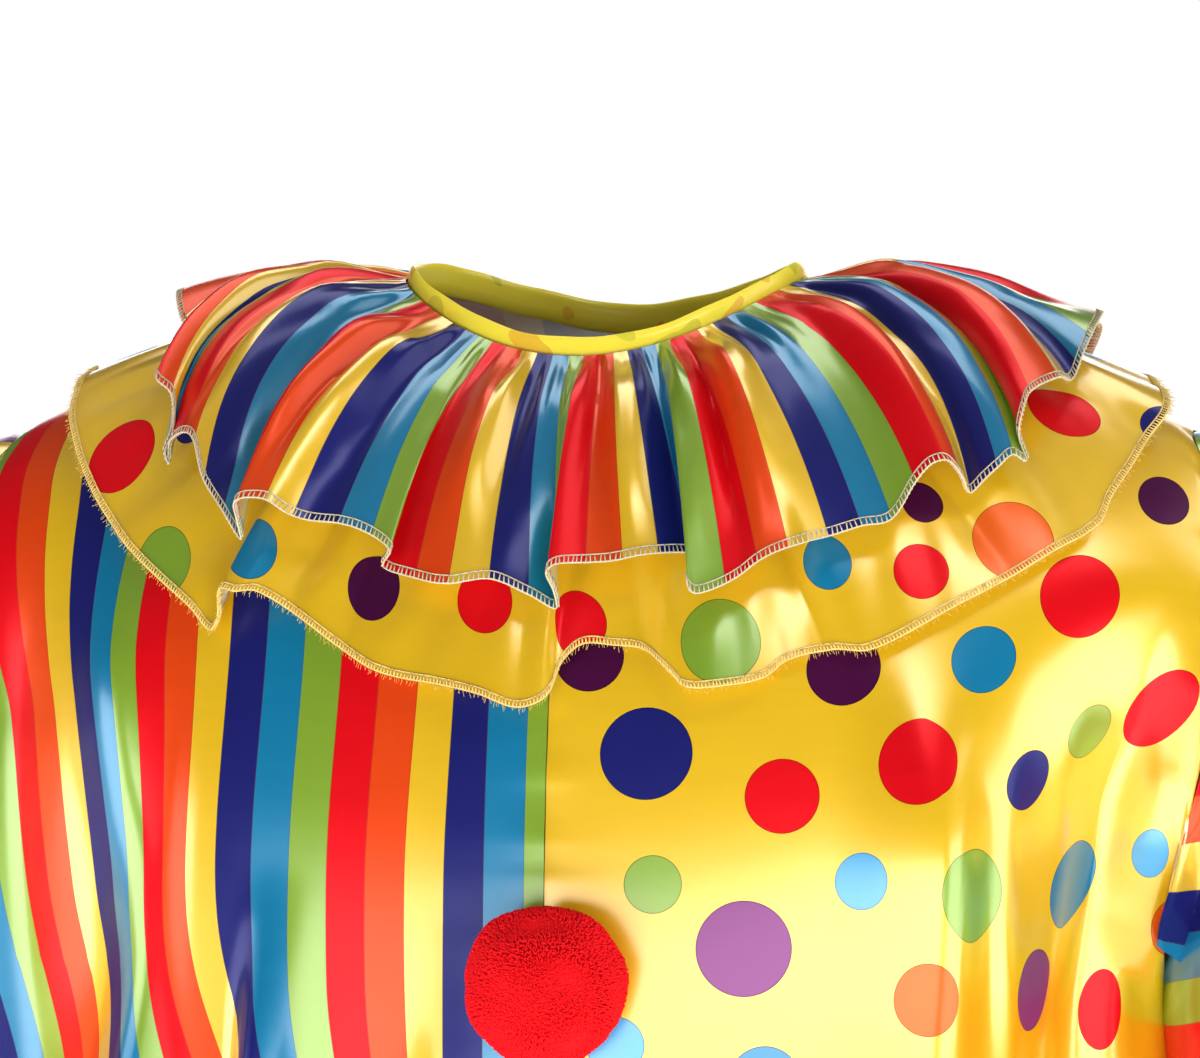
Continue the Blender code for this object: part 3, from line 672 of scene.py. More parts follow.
def sleeve(name, side, material, reverse):
    """A sleeve with its soft folds, its armhole seam set in and its wrist hem turned up."""
    grid, cloth, along = sleeve_grid(side)
    turn = (360 * np.arange(grid.shape[1]) / grid.shape[1] + 180) % 360
    round_length = cloth[:, -1:, 1] - cloth[:, :1, 1]
    rise = np.zeros(along.shape)
    for fold in each_row(SLEEVE_FOLDS[side]):
        away = ((turn - fold["turn"] + 180) % 360 - 180) / 360 * round_length
        off = along - fold["down"] - fold["slant"] * away
        rise += fold["height"] * (bump(away / fold["round"]) * bump(off / fold["deep"] / 1.6))
    seam = run_length(grid, 0)
    hem = seam[-1:] - seam
    rise *= ramp(seam, 0.0, 0.020)
    rise += seam_set_in(seam) - 0.0006 * np.exp(-((hem - WRIST_HEM) / 0.0016) ** 2)
    puckers = ARMHOLE_PUCKER * ripple(turn / 360, (23, 0.1, 0.6), (37, 0.4, 0.4))
    rise += puckers * np.exp(-seam / PUCKER_REACH) * ramp(seam, 0, 0.003)
    grid = grid + ring_normals(grid) * rise[..., None]
    inner = grid - ring_normals(grid) * CLOTH
    outer, inner = (place(points, side, 1) for points in (grid, inner))
    return cloth_shell(name, outer, inner, cloth, material, reverse, closed=True)


# ---------------------------------------------------------------- collar

BED_TURN = 2.0                  # degrees and metres between the points of the bed the collar lies on
BED_STEP = 0.004
BED_LENGTH = 0.200
TIER_COLUMNS = 1010
LOWER_ROWS = 34
UPPER_ROWS = 30
BACK_EDGE = 179.6               # angle at which a tier ends beside the centre back
MIRROR_TURN = 192.0             # a flute at an angle has its like at this less the angle, behind
LAYER = 0.0016                  # stand-off of one gathered layer at the neck
SMOOTHED = 40                   # columns either side over which the upper tier's gathering is evened out
TRACK_POINTS = 6000             # points of a hem among which its ends at the centre back are sought

# Hem of the lower tier from the wearer's right shoulder round the front to the left one: angle from the
# centre front, reach down from the neckline over the body, and how far it stands off the body.
LOWER_HEM = table(
    "angle reach/mm lift/mm",
    (-95, 122, 6),
    (-86, 113, 8),
    (-79, 116, 12),
    (-75.5, 121, 12),
    (-72, 124, 10),
    (-68.5, 127, 8),
    (-59, 133, 8),
    (-49.5, 136, 8),
    (-46.5, 139, 6),
    (-45.5, 134, 9),
    (-45.5, 126, 14),
    (-43.5, 124, 15),
    (-41.5, 120, 12),
    (-37, 120, 8),
    (-30, 124, 7),
    (-24.5, 127, 8),
    (-15.5, 126, 10),
    (-9.5, 127, 12),
    (-3.5, 130, 12),
    (0.5, 126, 10),
    (2.5, 114, 6),
    (5.5, 108, 4),
    (10, 109, 3),
    (14.5, 112, 4),
    (18.5, 123, 8),
    (20.5, 129, 10),
    (26, 132, 10),
    (30.5, 133, 8),
    (33.5, 130, 5),
    (39, 132, 3),
    (43, 138, 5),
    (52.5, 139, 8),
    (63, 142, 9),
    (68, 144, 9),
    (70.5, 140, 8),
    (74.5, 137, 7),
    (78, 135, 8),
    (81, 135, 10),
    (85, 130, 9),
    (92, 121, 7),
    (99, 118, 6),
)

# Hem of the upper tier, placed by its own printed stripes (0 starts a red one); its lift is above the
# lower tier.
UPPER_HEM = table(
    "stripe angle reach/mm lift/mm",
    (-15, -106, 84, 8),
    (-14, -100, 83, 12),
    (-13, -94, 78, 4),
    (-12, -88, 73, 8),
    (-11, -80, 73, 14),
    (-10, -74, 74, 11),
    (-8, -71, 73, 4),
    (-6.6, -68.5, 86, 5),
    (-6, -66.5, 89, 12),
    (-5, -65, 90, 13),
    (-4, -63.5, 89, 9),
    (-3, -61, 95, 7),
    (-2, -60, 102, 5),
    (-1, -59, 104, 2),
    (0.2, -60, 99, 6),
    (1, -57.5, 94, 12),
    (2, -55, 94, 13),
    (3, -51.5, 101, 11),
    (4, -47.5, 105, 8),
    (5, -44.5, 109, 3),
    (6, -44.5, 105, 10),
    (7, -43.5, 102, 21),
    (7.5, -42.5, 99, 22),
    (8, -40.5, 96, 20),
    (9, -37.5, 95, 16),
    (10, -32, 90, 15),
    (11, -27, 89, 16),
    (11.8, -23.5, 92, 16),
    (12.2, -25, 96, 10),
    (13, -19.5, 97, 12),
    (14, -14, 97, 14),
    (15, -8, 93, 13),
    (16, -2, 96, 10),
    (17, 2, 99, 5),
    (17.5, 2, 95, 12),
    (18, 1.5, 92, 22),
    (18.4, 3, 89, 22),
    (19.1, 7.5, 87, 17),
    (20, 12.5, 87, 14),
    (21, 18, 87, 10),
    (21.9, 22.5, 88, 5),
    (22.5, 23, 95, 12),
    (23, 22, 102, 20),
    (23.4, 23, 106, 20),
    (24, 27, 105, 18),
    (25, 31.5, 101, 16),
    (26, 35.5, 100, 15),
    (27, 40.5, 102, 14),
    (28, 44.5, 104, 14),
    (29, 48, 107, 14),
    (30, 51.5, 102, 18),
    (30.6, 53.5, 101, 21),
    (31, 55, 103, 22),
    (32, 56.5, 108, 15),
    (33, 57.5, 112, 6),
    (33.5, 59, 112, 9),
    (34, 60.5, 112, 11),
    (35, 62.5, 112, 12),
    (35.6, 63.5, 116, 11),
    (36, 64, 109, 13),
    (36.6, 65, 105, 18),
    (37, 67, 102, 19),
    (38, 71.5, 104, 16),
    (39.4, 75.5, 105, 6),
    (40.5, 78, 103, 10),
    (41.5, 82, 101, 14),
    (42.5, 87, 99, 13),
    (44, 93, 94, 5),
    (45.5, 99, 92, 8),
)

# Angle round the neck at which the upper tier's stripes are gathered in.
UPPER_NECK = table(
    "stripe angle",
    (-15, -136),
    (-12, -124),
    (-5, -106),
    (-1, -95),
    (1.5, -86),
    (4, -68),
    (7.5, -47),
    (12.5, -22),
    (18.5, 5),
    (23.5, 24),
    (27.5, 41),
    (30.5, 58),
    (33.5, 74),
    (37, 90),
    (45.5, 118),
)


def neckline(angle):
    """Points of the neckline at angles from the centre front."""
    x, y = np.sin(angle) * (NECK_HALF_WIDTH + SEAM), -np.cos(angle) * (NECK_HALF_DEPTH + SEAM)
    return np.stack([x, y, body_height(x, y)], -1)


def body_height(x, y):
    """Height of the yoke over plan points; not a number beyond its fullest line."""
    height = np.full(x.shape, np.nan)
    for side in (LEFT, RIGHT):
        for face in (FRONT, BACK):
            here = ((x >= 0) == (side == LEFT)) & ((y <= 0) == (face == FRONT))
            run, depth = np.abs(x[here]), np.maximum(np.abs(y[here]), 1e-6)
            height[here] = yoke_height(face, run, turn_at(side, face, run, depth))
    return height


def collar_bed():
    """The surface that the collar lies on, by angle and by length from the neckline, and its normals."""
    angle = np.radians(np.arange(-180.0, 180.1, BED_TURN))
    start = neckline(angle)
    heading = unit(start[:, :2])
    reach, z = np.linalg.norm(start[:, :2], axis=1), start[:, 2].copy()
    points = [start]
    for _ in range(int(BED_LENGTH / BED_STEP)):
        low, high = np.zeros(len(angle)), np.full(len(angle), BED_STEP)
        for _ in range(HALVINGS["reach"]):
            middle = (low + high) / 2
            spot = heading * (reach + middle)[:, None]
            height = body_height(spot[:, 0], spot[:, 1])
            too_far = np.isnan(height) | (np.hypot(middle, np.nan_to_num(height) - z) > BED_STEP)
            low, high = np.where(too_far, low, middle), np.where(too_far, middle, high)
        reach = reach + low
        z = z - np.sqrt(np.maximum(0, BED_STEP ** 2 - low ** 2))
        points.append(np.concatenate([heading * reach[:, None], z[:, None]], 1))
    surface = np.stack(points, 1)
    normal = grid_normals(np.concatenate([surface[-3:-1], surface, surface[1:3]]))[2:-2]
    out = np.concatenate([np.broadcast_to(heading[:, None], surface.shape[:2] + (2,)),
                          np.ones(surface.shape[:2] + (1,))], -1)
    return surface, normal * np.sign((normal * out).sum(-1, keepdims=True))


def on_bed(field, angle, length):
    """A field of the bed at angles in degrees and lengths, by a smooth cubic through its points."""
    turns, steps = field.shape[0] - 1, field.shape[1] - 1
    across = np.asarray(angle + 180.0) / BED_TURN
    down = np.clip(np.asarray(length) / BED_STEP, 0, steps - 1e-6)
    i, j = np.floor(across).astype(int), np.floor(down).astype(int)

    def weights(part):
        return (-0.5 * part + part ** 2 - 0.5 * part ** 3, 1 - 2.5 * part ** 2 + 1.5 * part ** 3,
                0.5 * part + 2 * part ** 2 - 1.5 * part ** 3, -0.5 * part ** 2 + 0.5 * part ** 3)
    total = 0.0
    for di, wi in zip((-1, 0, 1, 2), weights(across - i)):
        for dj, wj in zip((-1, 0, 1, 2), weights(down - j)):
            total = total + field[(i + di) % turns, np.clip(j + dj, 0, steps)] * (wi * wj)[..., None]
    return total


def off_bed(bed, angle, length, stand):
    """Points that stand off the bed at angles and lengths."""
    surface, normal = bed
    return on_bed(surface, angle, length) + on_bed(normal, angle, length) * stand[..., None]


def all_round(hem, key):
    """A hem's columns carried on behind by the likeness of the front, with its key column still rising."""
    last = hem[key][-1]
    behind = {name: values[::-1] for name, values in hem.items()}
    behind["angle"] = MIRROR_TURN - behind["angle"]
    behind[key] = 2 * last - behind[key]
    chosen = (behind["angle"] > hem["angle"][-1] + 1) & (behind["angle"] < 360 + hem["angle"][0] - 2)
    rows = {name: np.concatenate([hem[name], behind[name][chosen]]) for name in hem}
    first = 360 + hem["angle"][0] - rows["angle"][-1]
    pace = (last - hem[key][0]) / (hem["angle"][-1] - hem["angle"][0])
    round_once = {"angle": 360.0, key: rows[key][-1] - hem[key][0] + first * pace}
    return {name: np.concatenate([values + turn * round_once.get(name, 0) for turn in (-1, 0, 1)])
            for name, values in rows.items()}


def hem_fields(hem, key, row_count):
    """A tier's run and share down it, the turn from 0 to 1 round it, and its hem's angle, reach and lift."""
    rows = all_round(hem, key)
    track = np.linspace(rows[key][0], rows[key][-1], TRACK_POINTS)
    angle = read(rows, key, track, "angle")
    start, end = (track[np.argmin(np.abs(angle - edge))] for edge in (-BACK_EDGE, BACK_EDGE))
    run = np.linspace(start, end, TIER_COLUMNS)[None, :]
    share = np.linspace(0, 1, row_count)[:, None]
    fields = [read(rows, key, run, name) for name in ("angle", "reach", "lift")]
    return run, share, (run - start) / (end - start), fields


def tier_cloth(run, length):
    """UV map of a tier: along its strip and, below zero, down it."""
    return np.stack([np.broadcast_to(run, length.shape), -length], -1)


def gather_ripples(run, share, height):
    """Fine uneven puckers that run out from the neck seam."""
    wave = ripple(run, (61, 0.13, 0.42), (83, 0.71, 0.33), (107, 0.37, 0.25), (151, 0.55, 0.18))
    return height * wave * np.exp(-((share - 0.12) / 0.20) ** 2) * ramp(share, 0.0, 0.06)


def pleats(run, share, count, height, hem):
    """Round soft folds with creases between them, uneven in size; hem is the share that stays at the hem."""
    sway = 0.30 * ripple(run, (7, 0.21, 0.6), (13, 0.67, 0.5), (19, 0.05, 0.4))
    at = count * run + sway + 0.25 * share
    size = 0.72 + 0.28 * ripple(run, (5, 0.4, 0.5), (11, 0.9, 0.5), (17, 0.3, 0.4))
    reach = ramp(share, 0.02, 0.30) * (1 - (1 - hem) * ramp(share, 0.50, 1.0))
    return height * size * reach * (np.sqrt(np.sin(math.pi * at) ** 2 + 0.012) - 0.11)


def crumple(run, share, height):
    """Small slanting dents in the lower part of a tier."""
    wave = ripple(run + 0.045 * share, (29, 0.33, 0.40), (43, 0.81, 0.36), (67, 0.12, 0.24))
    return height * wave * ramp(share, 0.25, 0.70) * (1 - 0.5 * ramp(share, 0.85, 1.0))


def lower_tier_grid(bed):
    """Points of the lower tier from neck to hem, its UV map, and its places and stand-off over the body."""
    hem = dict(LOWER_HEM)
    corners = off_bed(bed, hem["angle"], hem["reach"], hem["lift"])
    hem["run"] = run_length(corners, 0)
    run, share, turned, (hem_angle, reach, lift) = hem_fields(hem, "run", LOWER_ROWS)
    root = BACK_EDGE * (2 * turned - 1)
    angle = root + (hem_angle - root) * share ** 0.8
    length = reach * share
    stand = LAYER * 0.7 + lift * share ** 1.15 + gather_ripples(turned, share, 0.0010)
    stand = stand + pleats(turned, share, 27, 0.0050, 0.40) + crumple(turned, share, 0.0009)
    return off_bed(bed, angle, length, stand), tier_cloth(run, length), (angle, length, stand)


def cover(field_shape, angle, length, stand):
    """How far a tier's upper side stands off the body, as a field of the bed."""
    field = np.zeros(field_shape)
    i = np.round((angle + 180) / BED_TURN).astype(int) % (field_shape[0] - 1)
    j = np.clip(np.round(length / BED_STEP).astype(int), 0, field_shape[1] - 1)
    np.maximum.at(field, (i, j), stand)
    field[-1] = field[0]
    for step in range(1, field.shape[1]):
        field[:, step] = np.where(field[:, step] > 0, field[:, step], field[:, step - 1])
    for _ in range(2):
        wide = np.maximum(np.roll(field, 1, 0), np.roll(field, -1, 0))
        field = np.maximum(field, 0.5 * field + 0.5 * wide)
    return field[..., None]


def upper_tier_grid(bed, lower_place):
    """Points of the upper tier from neck to hem, over the lower one, and its UV map."""
    stripe, share, turned, (hem_angle, reach, lift) = hem_fields(UPPER_HEM, "stripe", UPPER_ROWS)
    ends = [stripe[0, :1], stripe[0, -1:]]
    line = np.interp(stripe[0], np.concatenate([ends[0], UPPER_NECK["stripe"], ends[1]]),
                     np.concatenate([[-BACK_EDGE], UPPER_NECK["angle"], [BACK_EDGE]]))
    before, after = 2 * line[0] - line[SMOOTHED:0:-1], 2 * line[-1] - line[-2:-SMOOTHED - 2:-1]
    kernel = np.hanning(2 * SMOOTHED + 1)
    root = np.convolve(np.concatenate([before, line, after]), kernel / kernel.sum(), mode="valid")[None, :]
    angle = root + (hem_angle - root) * share ** 0.85
    length = reach * share
    under = on_bed(cover(bed[0].shape[:2], *lower_place), angle, length)[..., 0]
    stand = under + LAYER + lift * share ** 1.25 + gather_ripples(turned, share, 0.0016)
    stand = stand + pleats(turned, share, 31, 0.0105, 0.15)
    return off_bed(bed, angle, length, stand), tier_cloth(stripe * STRIPE, length)


def outward(grid):
    """Unit normals of a tier's grid on its outer side."""
    normal = grid_normals(grid)
    return normal * np.sign(normal[3, :, 2].mean())


# ---------------------------------------------------------------- neck binding

BAND_POINTS = 240
BAND_LAP = 1.0003               # half-turns from the centre front at which the strip's ends just overlap
BAND_BELOW = 0.0025
BAND_ABOVE = 0.0080
BAND_GIRTH = 0.021              # once round the strip's section
# Section of the folded strip: distance out from its middle line, and share of its height.
BAND_SECTION = table(
    "out/mm up",
    (0.9, 0),
    (1.2, 0.1),
    (0.9, 0.18),
    (1.3, 0.32),
    (1.5, 0.55),
    (1.2, 0.78),
    (0.6, 0.94),
    (0, 1),
    (-0.6, 0.94),
    (-0.9, 0.75),
    (-0.9, 0.4),
    (-0.8, 0.05),
    (0, -0.03),
)


def band_loop(angle, out, up):
    """Points of the neck binding at angles from the centre front."""
    base = neckline(angle)
    heading = unit(base * np.array([1, 1, 0]))
    sway = 0.0004 * ripple(angle / (2 * math.pi), (9, 0.2, 0.6), (17, 0.5, 0.4))
    height = -BAND_BELOW + (BAND_ABOVE + BAND_BELOW) * up + sway
    return base + heading * (out - 0.0012 - 0.0010 * up) + np.array([0, 0, 1]) * height[..., None]


def neck_binding(material):
    """The folded satin strip round the neck, open at the centre back."""
    angle = np.linspace(-BAND_LAP, BAND_LAP, BAND_POINTS) * math.pi
    rings = np.stack([band_loop(angle, point["out"], point["up"]) for point in each_row(BAND_SECTION)], 1)
    run = run_length(rings[:, :1], 0)
    reach = np.append(run_length(rings, 1).mean(0), BAND_GIRTH)[None, :]
    return capped_tube("neck_binding_cloth", rings, material, np.stack(np.broadcast_arrays(run, reach), -1))


# ---------------------------------------------------------------- node helpers

def feed(tree, node, inputs):
    """Link or set a node's inputs, given by name or number."""
    for key, value in inputs.items():
        if isinstance(value, bpy.types.NodeSocket):
            tree.links.new(value, node.inputs[key])
        else:
            node.inputs[key].default_value = value


def add_node(tree, kind, inputs, **settings):
    """A node with its settings and then its inputs; returns its outputs."""
    node = tree.nodes.new(kind)
    for key, value in settings.items():
        setattr(node, key, value)
    feed(tree, node, inputs)
    return node.outputs


def math_node(tree, operation, *values):
    """A math node's result from sockets or numbers."""
    return add_node(tree, "ShaderNodeMath", dict(enumerate(values)), operation=operation)[0]


def mix_colour(tree, factor, low, high, blend="MIX"):
    """A mix of two colours or sockets."""
    inputs = {0: factor, 6: low, 7: high}
    return add_node(tree, "ShaderNodeMix", inputs, data_type="RGBA", blend_type=blend)[2]


def noise(tree, place_in, scale, detail):
    """Smooth noise over a place."""
    return add_node(tree, "ShaderNodeTexNoise", {"Vector": place_in, "Scale": scale, "Detail": detail})[0]


def colour_ramp(tree, factor, stops, interpolation):
    """A colour read from (position, colour) stops."""
    node = tree.nodes.new("ShaderNodeValToRGB")
    elements = node.color_ramp.elements
    node.color_ramp.interpolation = interpolation
    elements.remove(elements[1])
    elements[0].position, elements[0].color = stops[0]
    for position, colour in stops[1:]:
        elements.new(position).color = colour
    feed(tree, node, {0: factor})
    return node.outputs[0]


def group(name, inputs, outputs, kind="ShaderNodeTree"):
    """A node group with its sockets: the tree, the sockets of what it is given, and its end node."""
    tree = bpy.data.node_groups.new(name, kind)
    for in_out, sockets in (("INPUT", inputs), ("OUTPUT", outputs)):
        for label, socket_kind, *value in sockets:
            kind_name = "NodeSocket" + socket_kind
            socket = tree.interface.new_socket(name=label, in_out=in_out, socket_type=kind_name)
            if value:
                socket.default_value = value[0]
    return tree, tree.nodes.new("NodeGroupInput").outputs, tree.nodes.new("NodeGroupOutput")


# ---------------------------------------------------------------- thread and yarn

def thread_tree():
    """Geometry nodes that set a thin tapered thread on every point of a mesh, along its own direction."""
    tree, given, end = group("thread on points", (
        ("Geometry", "Geometry"),
        ("Length", "Float", 0.002),
        ("Root Radius", "Float", 0.0002),
        ("Tip Radius", "Float", 0.0002),
        ("Sides", "Int", 5),
        ("Lean", "Float", 0.0),
        ("Length Spread", "Float", 0.0),
        ("Seed", "Int", 4),
        ("Material", "Material"),
    ), (("Geometry", "Geometry"),), "GeometryNodeTree")
    cone = add_node(tree, "GeometryNodeMeshCone", {
        "Vertices": given["Sides"],
        "Radius Bottom": given["Root Radius"],
        "Radius Top": given["Tip Radius"],
        "Depth": given["Length"],
    }, fill_type="TRIANGLE_FAN")
    ways = [add_node(tree, "GeometryNodeInputNamedAttribute", {"Name": name}, data_type="FLOAT_VECTOR")[0]
            for name in ("along", "side")]
    axes = add_node(tree, "FunctionNodeAxesToRotation", dict(enumerate(ways)), primary_axis="Z",
                    secondary_axis="X")
    lean_back = math_node(tree, "MULTIPLY", given["Lean"], -1.0)
    lean = add_node(tree, "FunctionNodeRandomValue", {0: lean_back, 1: given["Lean"], "Seed": given["Seed"]},
                    data_type="FLOAT_VECTOR")
    euler = add_node(tree, "FunctionNodeEulerToRotation", {0: lean[0]})
    turned = add_node(tree, "FunctionNodeRotateRotation", {0: axes[0], 1: euler[0]}, rotation_space="LOCAL")
    low, high = (math_node(tree, how, 1.0, given["Length Spread"]) for how in ("SUBTRACT", "ADD"))
    spread = add_node(tree, "FunctionNodeRandomValue", {2: low, 3: high, "Seed": given["Seed"]},
                      data_type="FLOAT")
    scale = add_node(tree, "ShaderNodeCombineXYZ", {0: 1.0, 1: 1.0, 2: spread[1]})
    put = add_node(tree, "GeometryNodeInstanceOnPoints", {
        "Points": given["Geometry"],
        "Instance": cone["Mesh"],
        "Rotation": turned[0],
        "Scale": scale[0],
    })
    real = add_node(tree, "GeometryNodeRealizeInstances", {0: put[0]})
    painted = add_node(tree, "GeometryNodeSetMaterial", {0: real[0], "Material": given["Material"]})
    feed(tree, end, {0: painted[0]})
    return tree


def threads(name, points, along, side, material, **sizes):
    """Threads that start at points and run along their directions, as one realised mesh."""
    mesh = bpy.data.meshes.new(name)
    mesh.from_pydata(points.tolist(), [], [])
    for label, vectors in (("along", along), ("side", side)):
        layer = mesh.attributes.new(label, "FLOAT_VECTOR", "POINT")
        layer.data.foreach_set("vector", np.ascontiguousarray(vectors, np.float32).reshape(-1))
    piece = add_object(name, mesh)
    growing = piece.modifiers.new("threads", "NODES")
    growing.node_group = THREADS
    sizes["material"] = material
    for item in THREADS.interface.items_tree:
        key = item.name.lower().replace(" ", "_")
        if item.in_out == "INPUT" and key in sizes:
            growing[item.identifier] = sizes[key]
    grown = bpy.data.meshes.new_from_object(piece.evaluated_get(bpy.context.evaluated_depsgraph_get()))
    piece.modifiers.clear()
    piece.data = grown
    grown.shade_smooth()
    return piece


def tube(name, line, radius, material, sides=6):
    """A thread that lies along a line of points."""
    ahead = unit(np.gradient(line, axis=0))
    across = unit(np.cross(ahead, [0.13, 0.21, 1.0]))
    over = np.cross(across, ahead)
    turn = 2 * math.pi * np.arange(sides) / sides
    rings = line[:, None] + radius * (across[:, None] * np.cos(turn)[None, :, None]
                                      + over[:, None] * np.sin(turn)[None, :, None])
    return capped_tube(name, rings, material)


def spaced(step, line, *fields):
    """Points a step apart along a line, with further fields read at the same places."""
    run = run_length(line, 0)
    at = np.arange(step / 2, run[-1], step)
    return [np.stack([np.interp(at, run, field[:, axis]) for axis in range(3)], -1)
            for field in (line,) + fields]


def hem_frame(grid):
    """A tier's hem as a line of points, the way up the cloth from it and the cloth's outer side there."""
    return grid[-1], unit(grid[-3] - grid[-1]), outward(grid)[-1]


def overlock(name, grid, material, step, length, radius):
    """Overlock round a hem: bars over both sides of the edge, held by a thread along each of their ends."""
    line, up, out = hem_frame(grid)
    points, ups, outs = spaced(step, line, up, out)
    ups, outs = unit(ups), unit(outs)
    starts = [points + outs * (radius * 0.7), points + outs * (-radius * 0.7 - CLOTH)]
    bars = threads(name + "_bars", np.concatenate(starts), np.concatenate([ups, ups]),
                   np.concatenate([outs, -outs]), material, length=length, root_radius=radius,
                   tip_radius=radius, sides=5, lean=0.12, length_spread=0.10, seed=7)
    edge = tube(name + "_edge", line + out * radius * 0.2, radius * 1.25, material)
    inner = tube(name + "_line", line + up * length + out * radius * 0.8, radius * 0.9, material)
    return [bars, edge, inner]


def fray(name, grid, material):
    """Short loose ends of yarn that stand out of a hem's edge."""
    points, ups, outs = spaced(0.0008, *hem_frame(grid))
    return threads(name, points, -unit(ups), unit(outs), material, length=0.0017, root_radius=0.00014,
                   tip_radius=0.00007, sides=3, lean=0.50, length_spread=0.60, seed=11)


def stitches(name, line, out, material):
    """A row of straight stitches along a line of points."""
    points, ways, outs = spaced(0.0027, line, np.gradient(line, axis=0), out)
    return threads(name, points + unit(outs) * 0.00015, unit(ways), unit(outs), material, length=0.0019,
                   root_radius=0.00022, tip_radius=0.00018, sides=5, lean=0.05, length_spread=0.08, seed=5)


POMPOM_CENTRE = (0.0046, -0.1515, -0.2288)
POMPOM_CORE = 0.0251
POMPOM_SHAPE = (1.0, 0.80, 1.0)
POMPOM_FIBRES = 16000


def pompom(material):
    """A dense ball of cut yarn, a little flattened against the chest."""
    index = np.arange(POMPOM_FIBRES) + 0.5
    height = 1 - 2 * index / POMPOM_FIBRES
    turn = math.pi * (1 + math.sqrt(5)) * index
    flat = np.sqrt(1 - height ** 2)
    way = np.stack([flat * np.cos(turn), height, flat * np.sin(turn)], -1)
    x, y, z = way.T
    lumps = 0.0007 * (np.sin(5 * x + 2) * np.sin(6 * z) + np.sin(9 * y + 4 * z))
    points = np.array(POMPOM_CENTRE) + way * (POMPOM_CORE + lumps)[:, None] * np.array(POMPOM_SHAPE)
    side = unit(np.cross(way, [0.3, 0.2, 0.9]))
    fibres = threads("pompom_yarn", points - way * 0.0012, way, side, material, length=0.0026,
                     root_radius=0.00046, tip_radius=0.00034, sides=3, lean=0.40, length_spread=0.10, seed=3)
    mesh = bpy.data.meshes.new("pompom_core")
    build = bmesh.new()
    bmesh.ops.create_uvsphere(build, u_segments=40, v_segments=24, radius=POMPOM_CORE)
    for vertex in build.verts:
        vertex.co = [part * size + at for part, size, at in zip(vertex.co, POMPOM_SHAPE, POMPOM_CENTRE)]
    build.to_mesh(mesh)
    build.free()
    mesh.materials.append(material)
    mesh.shade_smooth()
    return add_object("pompom_core", mesh), fibres


# ---------------------------------------------------------------- materials

RED = (0.67, 0.003, 0.008, 1)
ORANGE = (0.70, 0.055, 0.005, 1)
TANGERINE = (0.74, 0.105, 0.004, 1)
YELLOW = (0.76, 0.46, 0.006, 1)
# the binding's yellow, painted lighter than the cloth's own yellow: a painted highlight
YELLOW_WITH_PAINTED_HIGHLIGHT = (1.0, 0.82, 0.060, 1)
NAVY = (0.010, 0.012, 0.13, 1)
TEAL = (0.0015, 0.175, 0.34, 1)
GREEN = (0.20, 0.34, 0.022, 1)
PURPLE = (0.19, 0.040, 0.17, 1)
PLUM = (0.055, 0.003, 0.040, 1)
SKY = (0.012, 0.27, 0.54, 1)
PALE = (0.80, 0.76, 0.66, 1)
SEAM_OF_INKS = (0.1, 0.05, 0.02, 1)
STRIPES = (RED, ORANGE, YELLOW, NAVY, TEAL, GREEN)
DOT_RIM = 0.0003                # width of a dot's darker rim
CLOTH_SOCKET = ("Cloth", "Vector")
COLOUR_SOCKET = (("Color", "Color"),)
INK_SEAM = {"from": 0.488, "strength": 0.35}    # darker line between stripes, from a stripe's middle
RIM_SHADE = 0.45                # a dot's rim against its ink

# Dots of the body's print in millimetres: place across from the centre seam and up the grain from the
# underarm's level, radius and ink. The chart is repeated over the cloth.
DOT_REPEAT = (288, 300)
BODY_DOTS = (
    (33, 76, 15, NAVY),
    (78, 62, 12, RED),
    (36, 33, 9.3, GREEN),
    (66, 12, 15.5, PURPLE),
    (24, -20, 9.3, SKY),
    (13, 108, 11.2, PLUM),
    (97, 104, 12, PLUM),
    (144, 107, 10.9, TEAL),
    (176, 129, 13.8, RED),
    (124, 72, 13.8, RED),
    (171, 67, 9.8, NAVY),
    (194, 84, 9.3, GREEN),
    (222, 94, 14, RED),
    (105, 34, 9, SKY),
    (149, 30, 15, GREEN),
    (212, 27, 15.5, TEAL),
    (250, 43, 9, SKY),
    (129, -4, 12.1, TANGERINE),
    (191, -6, 13, PURPLE),
    (243, -16, 11.8, RED),
    (205, 167, 9.2, PLUM),
    (73, -32, 11.8, TEAL),
    (160, -40, 10, PLUM),
    (272, 18, 12, TANGERINE),
    (262, 112, 13, PURPLE),
    (255, 190, 10, TEAL),
    (60, 148, 13, TANGERINE),
    (113, 152, 10, GREEN),
    (24, 184, 14, TEAL),
    (84, 203, 15, RED),
    (146, 186, 13, NAVY),
    (180, 222, 11, SKY),
    (42, 238, 10, PURPLE),
    (118, 247, 12, TANGERINE),
    (246, 238, 14, GREEN),
)

# Dots of the lower tier in millimetres: place along its strip from its first hem point and, below zero,
# down it, radius and ink.
TIER_REPEAT = (620, 150)
TIER_DOTS = (
    (108, -114, 13.6, RED),
    (155, -129, 11, GREEN),
    (204, -109, 9.8, TEAL),
    (254, -101, 10.8, PLUM),
    (300, -96, 11, RED),
    (344, -101, 10.8, RED),
    (403, -117, 14, GREEN),
    (451, -105, 9.2, TEAL),
    (496, -103, 7.5, PLUM),
    (480, -123, 9.4, RED),
    (514, -131, 13.5, TANGERINE),
    (575, -108, 12.5, RED),
    (124, -86, 10, NAVY),
    (594, -137, 8, NAVY),
    (30, -100, 12, TEAL),
    (66, -70, 10, TANGERINE),
    (166, -66, 9, SKY),
    (228, -56, 12, RED),
    (330, -52, 11, PURPLE),
    (426, -60, 12, TANGERINE),
    (540, -70, 11, GREEN),
    (10, -50, 10, PURPLE),
)


